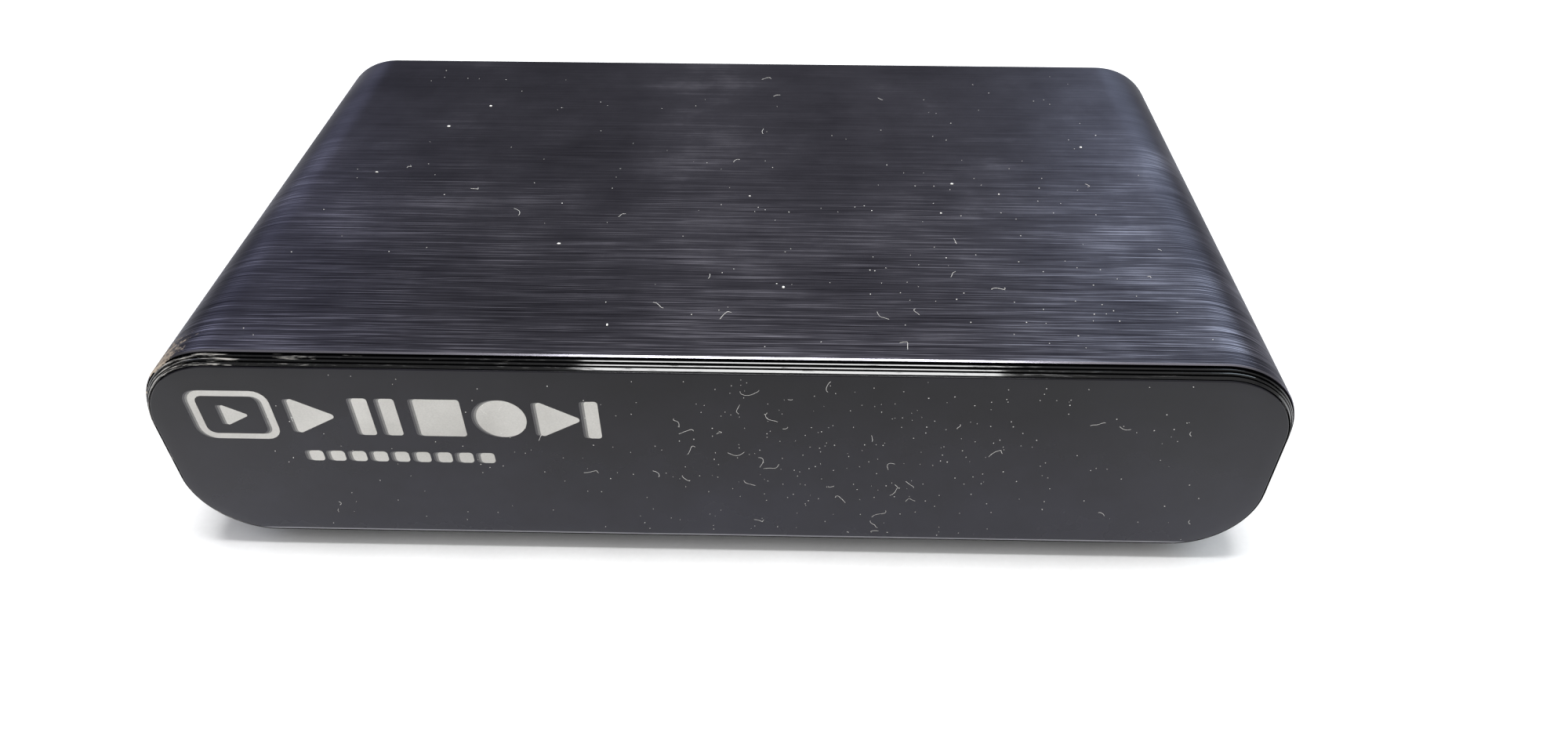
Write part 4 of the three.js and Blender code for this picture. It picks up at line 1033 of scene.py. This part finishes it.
def make_shells():
    """The folded shells of the two data sockets."""
    low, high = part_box("hdmi_shell")
    x = (low.x + high.x) / 2

    def trapezium(inset):
        half = (high.x - low.x) / 2 - inset
        base, top = low.z + inset, high.z - inset
        cut = 2.0 * MM - inset * (2 - math.sqrt(2))
        corners = [(x - half + cut, base), (x + half - cut, base), (x + half, base + cut),
                   (x + half, top), (x - half, top), (x - half, base + cut)]
        return rounded(corners, 0.6 * (MM - inset))

    def oblong(inset):
        middle, (width, height) = centre("usb_shell"), span("usb_shell")
        return box_outline(width - 2 * inset, height - 2 * inset, 0.7 * MM - inset * 0.6,
                           (middle.x, middle.z), 5)

    shell_piece("hdmi_folded_shell", trapezium, "hdmi_shell")
    shell_piece("usb_folded_shell", oblong, "usb_shell")


def soft_block(bm, low, high, edge=0.2 * MM):
    """A moulded block with softened edges at its two ends in Y and round its sides."""
    middle = ((low[0] + high[0]) / 2, (low[2] + high[2]) / 2)
    size = (high[0] - low[0], high[2] - low[2])
    stations = [(edge, low[1]), (edge * 0.3, low[1] + edge * 0.3), (0.0, low[1] + edge),
                (0.0, high[1] - edge), (edge * 0.3, high[1] - edge * 0.3), (edge, high[1])]
    rings = []
    for inset, y in stations:
        outline = box_outline(size[0] - 2 * inset, size[1] - 2 * inset, edge * 1.5, middle, 3)
        rings.append(ring(bm, outline, y))
    ring_stack(bm, rings)


def contacts(name, count, pitch, width, start, reach, bend):
    """A row of gold spring contacts that start at a place and reach back, bent up by bend. Pitch,
    width, reach and bend are in millimetres."""
    x, y, z = start
    bends = ((0.0, 0.0), (0.25, 1.0), (0.6, 0.8), (1.0, 0.0))
    points = [(x, y - reach * MM * back, z + bend * MM * up) for back, up in bends]
    piece = grown(wire(name, points, closed=False), CONTACT_ROW, {
        "Count": count, "Pitch": pitch * MM, "Contact Width": width * MM,
        "Contact Thickness": 0.12 * MM, "Finish": GOLD})
    dress(piece, GOLD, ())


TONGUE_BLOCK = 2.4 * MM
BLADE_ROOT = 1.0 * MM


def make_tongue(kind, half_blade, blade_top, blade_thickness, edge):
    """A moulded tongue: a block at the back and the blade that stands out of it. Returns the
    middle of its width and the place of its tip, in metres."""
    node = f"{kind}_tongue"
    low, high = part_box(node)
    x = (low.x + high.x) / 2
    bm = bmesh.new()
    soft_block(bm, (low.x, low.y, low.z), (high.x, low.y + TONGUE_BLOCK, high.z))
    soft_block(bm, (x - half_blade, low.y + BLADE_ROOT, blade_top - blade_thickness),
               (x + half_blade, high.y, blade_top), edge)
    new_piece(f"{kind}_moulded_tongue", bm, TEXTURED, [node])
    return x, high.y


def make_tongues():
    """Moulded tongues in the data sockets, with their contacts."""
    top = centre("hdmi_shell").z + 0.85 * MM
    blade = 0.9 * MM
    x, tip = make_tongue("hdmi", 5.5 * MM, top, blade, 0.15 * MM)
    contacts("hdmi_upper_contacts", 10, 1.0, 0.4, (x - 4.5 * MM, tip - 0.5 * MM, top + 0.02 * MM), 5, 0.1)
    contacts("hdmi_lower_contacts", 9, 1.0, 0.4,
             (x - 4.0 * MM, tip - 0.5 * MM, top - blade - 0.02 * MM), 5, -0.1)
    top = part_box("usb_shell")[1].z - 0.9 * MM
    blade = 1.8 * MM
    x, tip = make_tongue("usb", 5.6 * MM, top, blade, 0.25 * MM)
    contacts("usb_contacts", 4, 2.3, 1.0, (x - 3.45 * MM, tip - 0.8 * MM, top - blade - 0.03 * MM), 6, -0.3)


def make_jacks():
    """The audio jack, whose round nose comes through the cover, and the supply socket behind it."""
    node = "av_jack_body"
    low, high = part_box(node)
    axis = centre(node)
    bm = bmesh.new()
    outline = box_outline(*span(node), 0.3 * MM, (axis.x, axis.z), 3)
    pierced_plate(bm, outline, SLEEVE_REAR - 1.9 * MM, low.y, [round_hole(node, JACK_BORE, JACK_SIDES)])
    new_piece("audio_jack_body", bm, TEXTURED, [node])
    nose = [(1.8, -2.8), (3.0, -2.8), (3.0, -0.25), (2.93, -0.08), (2.75, 0.0), (2.1, 0.0),
            (1.86, -0.12), (1.8, -0.3)]
    spring = [(1.4, -2.6), (1.79, -2.6), (1.79, -1.2), (1.4, -1.2)]
    tube_piece("audio_jack_nose", placed(nose, high.y), node, TEXTURED, (), JACK_SIDES)
    tube_piece("audio_jack_contact", placed(spring, high.y), node, GOLD, (), JACK_SIDES)
    node = "dc_jack_body"
    low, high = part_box(node)
    axis = centre(node)
    depth = 9.5 * MM
    bm = bmesh.new()
    outline = box_outline(*span(node), 0.4 * MM, (axis.x, axis.z), 3)
    pierced_plate(bm, outline, high.y, high.y - depth, [round_hole(node, SUPPLY_BORE, JACK_SIDES)])
    soft_block(bm, (low.x, low.y, low.z), (high.x, high.y - depth + 0.1 * MM, high.z))
    new_piece("supply_socket_body", bm, TEXTURED, [node])


make_aerial_sockets()
make_pins()
make_shells()
make_tongues()
make_jacks()


# ---- Lint and dust

GATHERED = [("Number Per Square Metre", "Float"), ("Gather Place", "Vector"),
            ("Gather Reach", "Float"), ("Radius", "Float"), ("Seed", "Int")]


def gathered_points(tree, given):
    """Points scattered over a sheet, close together round one place and sparse far from it."""
    fine_sheet = add(tree, "GeometryNodeSubdivideMesh", {"Mesh": given["Geometry"], "Level": 6})
    here = add(tree, "GeometryNodeInputPosition")
    away = add(tree, "ShaderNodeVectorMath", {0: here, 1: given["Gather Place"]}, "Value",
               operation="DISTANCE")
    share = add(tree, "ShaderNodeMapRange", [away, 0.0, given["Gather Reach"], 1.0, 0.2],
        interpolation_type="SMOOTHSTEP")
    density = add(tree, "ShaderNodeMath", [share, given["Number Per Square Metre"]], operation="MULTIPLY")
    spread = tree.nodes.new("GeometryNodeDistributePointsOnFaces")
    join(tree, spread, {"Mesh": fine_sheet, "Density": density, "Seed": given["Seed"]})
    return spread.outputs


def lint_tree():
    """Short curled fibres that lie on a surface."""
    tree, given = new_tree("lint_fibres", [
        *GATHERED, ("Fibre Length", "Float"), ("Bend Share", "Vector"), ("Finish", "Material")])
    spread = gathered_points(tree, given)
    curl = add(tree, "GeometryNodeCurveArc", {
        "Resolution": 14, "Radius": 1.0, "Sweep Angle": math.radians(95)}, mode="RADIUS")
    # Each fibre lies turned its own way, and is between a quarter and the whole of the full length.
    spin = add(tree, "FunctionNodeRandomValue", {"Min": 0.0, "Max": math.tau, "Seed": given["Seed"]},
               1, data_type="FLOAT")
    flat_turn = add(tree, "FunctionNodeAxisAngleToRotation", {"Axis": (0, 0, 1), "Angle": spin})
    turn = add(tree, "FunctionNodeRotateRotation", {
        "Rotation": spread["Rotation"], "Rotate By": flat_turn}, rotation_space="LOCAL")
    size = add(tree, "FunctionNodeRandomValue", {"Min": 0.25, "Max": 1.0, "Seed": 11}, 1, data_type="FLOAT")
    size = add(tree, "ShaderNodeMath", {0: size, 1: given["Fibre Length"]}, operation="MULTIPLY")
    copies = add(tree, "GeometryNodeInstanceOnPoints", {
        "Points": spread["Points"], "Instance": curl, "Rotation": turn, "Scale": size})
    real = add(tree, "GeometryNodeRealizeInstances", {"Geometry": copies})
    here = add(tree, "GeometryNodeInputPosition")
    bend = add(tree, "ShaderNodeTexNoise", {"Vector": here, "Scale": per(1.3), "Detail": 0.0}, "Color")
    bend = add(tree, "ShaderNodeVectorMath", [bend, (0.5, 0.5, 0.5)], operation="SUBTRACT")
    bend = add(tree, "ShaderNodeVectorMath", {0: bend, "Scale": given["Fibre Length"]}, operation="SCALE")
    bend = add(tree, "ShaderNodeVectorMath", {0: bend, 1: given["Bend Share"]}, operation="MULTIPLY")
    curled = add(tree, "GeometryNodeSetPosition", {"Geometry": real, "Offset": bend})
    section = add(tree, "GeometryNodeCurvePrimitiveCircle", {"Resolution": 4, "Radius": given["Radius"]},
                  mode="RADIUS")
    fibres = add(tree, "GeometryNodeCurveToMesh", {
        "Curve": curled, "Profile Curve": section, "Fill Caps": True})
    end_tree(tree, fibres, given["Finish"])
    return tree


def dust_tree():
    """Fine grains that lie on a surface."""
    tree, given = new_tree("dust_grains", [*GATHERED, ("Finish", "Material")])
    spread = gathered_points(tree, given)
    grain = add(tree, "GeometryNodeMeshIcoSphere", {"Radius": given["Radius"], "Subdivisions": 1})
    size = add(tree, "FunctionNodeRandomValue", {0: (0.3, 0.3, 0.2), 1: (1.0, 1.0, 0.5), "Seed": 5},
               0, data_type="FLOAT_VECTOR")
    copies = add(tree, "GeometryNodeInstanceOnPoints", {
        "Points": spread["Points"], "Instance": grain, "Rotation": spread["Rotation"], "Scale": size})
    end_tree(tree, copies, given["Finish"])
    return tree


LINT_TREE = lint_tree()
DUST_TREE = dust_tree()


def patch(name, corners):
    """A flat sheet through four corners."""
    mesh = bpy.data.meshes.new(name)
    mesh.from_pydata(corners, [], [(0, 1, 2, 3)])
    return linked(name, mesh)


def panel_patch(name):
    """Nearly the whole panel, just in front of it."""
    low_x, high_x = panel_low.x + 8 * MM, panel_high.x - 6 * MM
    low_z, high_z = panel_low.z + 0.6 * MM, panel_high.z - 0.6 * MM
    y = PANEL_FACE - LINT_GAP
    return patch(name, [(low_x, y, low_z), (high_x, y, low_z), (high_x, y, high_z), (low_x, y, high_z)])


def top_patch(name):
    """The flat of the sleeve's top, just above it."""
    x = SLEEVE_WIDTH / 2 - SLEEVE_RADIUS
    low_y, high_y = SLEEVE_FRONT + 1 * MM, SLEEVE_REAR - 2 * MM
    z = TOP + LINT_GAP
    return patch(name, [(-x, low_y, z), (x, low_y, z), (x, high_y, z), (-x, high_y, z)])


LINT_GAP = 0.02 * MM
FIBRE_LENGTH = 1.1 * MM
# Fibres bend freely along the surface that they lie on, and hardly away from it.
PANEL_BEND = (1.6, 0.0, 1.6)
TOP_BEND = (1.6, 1.6, 0.05)
PANEL_HEART = (13 * MM, PANEL_FACE, SLEEVE_MIDDLE + 3 * MM)
TOP_HEART = (30 * MM, SLEEVE_FRONT + 16 * MM, TOP)
DROP_HEART = (27 * MM, 0.0, TOP)


def scatter_lint():
    """Lint and dust: most of it on the panel right of the middle and on the right of the top, where
    a few drops have also dried."""
    jobs = [  # name, sheet, bend, tree, number per square metre, heart, reach, seed, radius in mm
        ("panel_lint", panel_patch, PANEL_BEND, LINT_TREE, 0.026e6, PANEL_HEART, 50, 4, 0.022),
        ("top_lint", top_patch, TOP_BEND, LINT_TREE, 0.007e6, TOP_HEART, 60, 9, 0.024),
        ("panel_dust", panel_patch, PANEL_BEND, DUST_TREE, 0.36e6, PANEL_HEART, 34, 2, 0.075),
        ("top_dust", top_patch, TOP_BEND, DUST_TREE, 0.06e6, TOP_HEART, 50, 6, 0.095),
        ("top_dried_drops", top_patch, TOP_BEND, DUST_TREE, 0.012e6, DROP_HEART, 22, 8, 0.26),
    ]
    for name, make_patch, bend, tree, density, heart, reach, seed, radius in jobs:
        dress(grown(make_patch(name), tree, {
            "Number Per Square Metre": density, "Gather Place": heart, "Gather Reach": reach * MM,
            "Seed": seed, "Bend Share": bend, "Radius": radius * MM,
            "Fibre Length": FIBRE_LENGTH, "Finish": LINT}), LINT, smooth_angle=180)


scatter_lint()


# ---- Inside: CAD pieces with their finishes

INSIDE = [
    (TAPE_FOAM, ["panel_tape"]),
    (LAMINATE, ["main_board", "display_board"]),
    (TINPLATE, ["tuner_can", "tuner_lid", "crystal"]),
    (EPOXY, ["main_chip", "memory_chip", "flash_chip", "regulator_1", "regulator_2"]),
    (SILICONE, ["thermal_pad"]),
    (BLACK_FINS, ["heatsink"]),
    (FERRITE, ["inductor_1", "inductor_2"]),
    (PRINTED_FILM, ["capacitor_1", "capacitor_2", "capacitor_3", "capacitor_4"]),
    (BLACK_ZINC, ["display_screw_left", "display_screw_right"]),
    (TEXTURED, ["digit_display"]),
    (DARK_LENS, ["infrared_receiver"]),
    (RED_LENS, ["power_led"]),
    (NYLON, ["display_header", "main_header", "display_plug", "main_plug"]),
    (RIBBON, ["display_cable"]),
]
for finish, names in INSIDE:
    for name in names:
        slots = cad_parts[name].data.materials
        slots.clear()
        slots.append(finish)

# ---- Floor, light and camera

FLOOR_HALF = 1.5


def make_floor():
    """A plain, pale sheet of studio paper."""
    h = FLOOR_HALF
    floor = patch("studio_floor", [(-h, -h, 0.0), (h, -h, 0.0), (h, h, 0.0), (-h, h, 0.0)])
    paper = grained("studio_paper", ("#efefef", "#f6f6f6"), 0.6, (0.85, 0.95), 0.02, IOR=1.5)
    floor.data.materials.append(paper)


def add_softbox(name, bearing, height, distance, size, radiance, colour):
    """A soft panel of light aimed at the box, from a bearing and a height in degrees. The bearing
    runs from the rear (0) towards the right (90)."""
    turn, lift = math.radians(bearing), math.radians(height)
    aim = Vector((0, 0, SLEEVE_MIDDLE))
    way = Vector((math.sin(turn) * math.cos(lift), math.cos(turn) * math.cos(lift), math.sin(lift)))
    light = bpy.data.lights.new(name, "AREA")
    light.shape = "RECTANGLE"
    light.size, light.size_y = size
    light.energy = radiance * math.pi * size[0] * size[1]
    light.color = linear(colour)[:3]
    lamp = linked(name, light)
    lamp.location = aim + way * distance
    lamp.rotation_euler = way.to_track_quat("Z", "Y").to_euler()


def make_world():
    """Soft white surroundings, darkest at the horizon and darker towards the left."""
    world = bpy.data.worlds.new("studio")
    bpy.context.scene.world = world
    world.use_nodes = True
    tree = world.node_tree
    way = add(tree, "ShaderNodeTexCoord", out="Generated")
    height = add(tree, "ShaderNodeSeparateXYZ", {"Vector": way}, "Z")
    tone = add(tree, "ShaderNodeValToRGB", {"Fac": height}, stops=[
        (0.0, 0.5), (0.5, 0.42), (0.6, 0.6), (0.75, 0.8), (1.0, 0.95)])
    side = add(tree, "ShaderNodeSeparateXYZ", {"Vector": way}, "X")
    share = add(tree, "ShaderNodeMapRange", [side, -0.45, 0.4, 0.78, 1.3])
    join(tree, tree.nodes["Background"], {"Color": tone, "Strength": share})


CAMERA_PLACE = Vector((8.57 * MM, SLEEVE_FRONT - 82.49 * MM, sleeve_low.z + 96.67 * MM))
CAMERA_ANGLES = (40.752, -1.068, 0.128)     # down, towards the right, and rolled, in degrees
CAMERA_LENS = 24.986                        # mm, on a sensor this wide
CAMERA_SENSOR = 36.0
CAMERA_NEAR = 0.005                         # nothing is closer than this, in metres


def make_camera():
    """Looks down over the front edge, a little from the right, from about 0.13 m away."""
    pitch, yaw, roll = (math.radians(angle) for angle in CAMERA_ANGLES)
    flat = Vector((math.sin(yaw), math.cos(yaw), 0.0))
    forward = flat * math.cos(pitch) - Vector((0, 0, math.sin(pitch)))
    level = Vector((math.cos(yaw), -math.sin(yaw), 0.0))
    upright = level.cross(forward)
    right = level * math.cos(roll) + upright * math.sin(roll)
    up = upright * math.cos(roll) - level * math.sin(roll)
    data = bpy.data.cameras.new("camera")
    data.sensor_width = CAMERA_SENSOR
    data.lens = CAMERA_LENS
    data.clip_start = CAMERA_NEAR
    camera = linked("camera", data)
    turned_frame = Matrix((right, up, -forward)).transposed().to_4x4()
    camera.matrix_world = Matrix.Translation(CAMERA_PLACE) @ turned_frame
    bpy.context.scene.camera = camera


make_floor()
make_world()
# Name, bearing, height in degrees, distance and size in metres, brightness and colour.
add_softbox("overhead_softbox", 180, 88, 1.1, (0.46, 0.2), 35.0, "#ffffff")
add_softbox("right_softbox", 34, 26, 1.2, (0.66, 0.52), 4.7, "#dff1ff")
add_softbox("left_softbox", -42, 23, 1.3, (0.6, 0.5), 3.0, "#e2e8ff")
make_camera()
bpy.context.scene.view_settings.view_transform = "Standard"
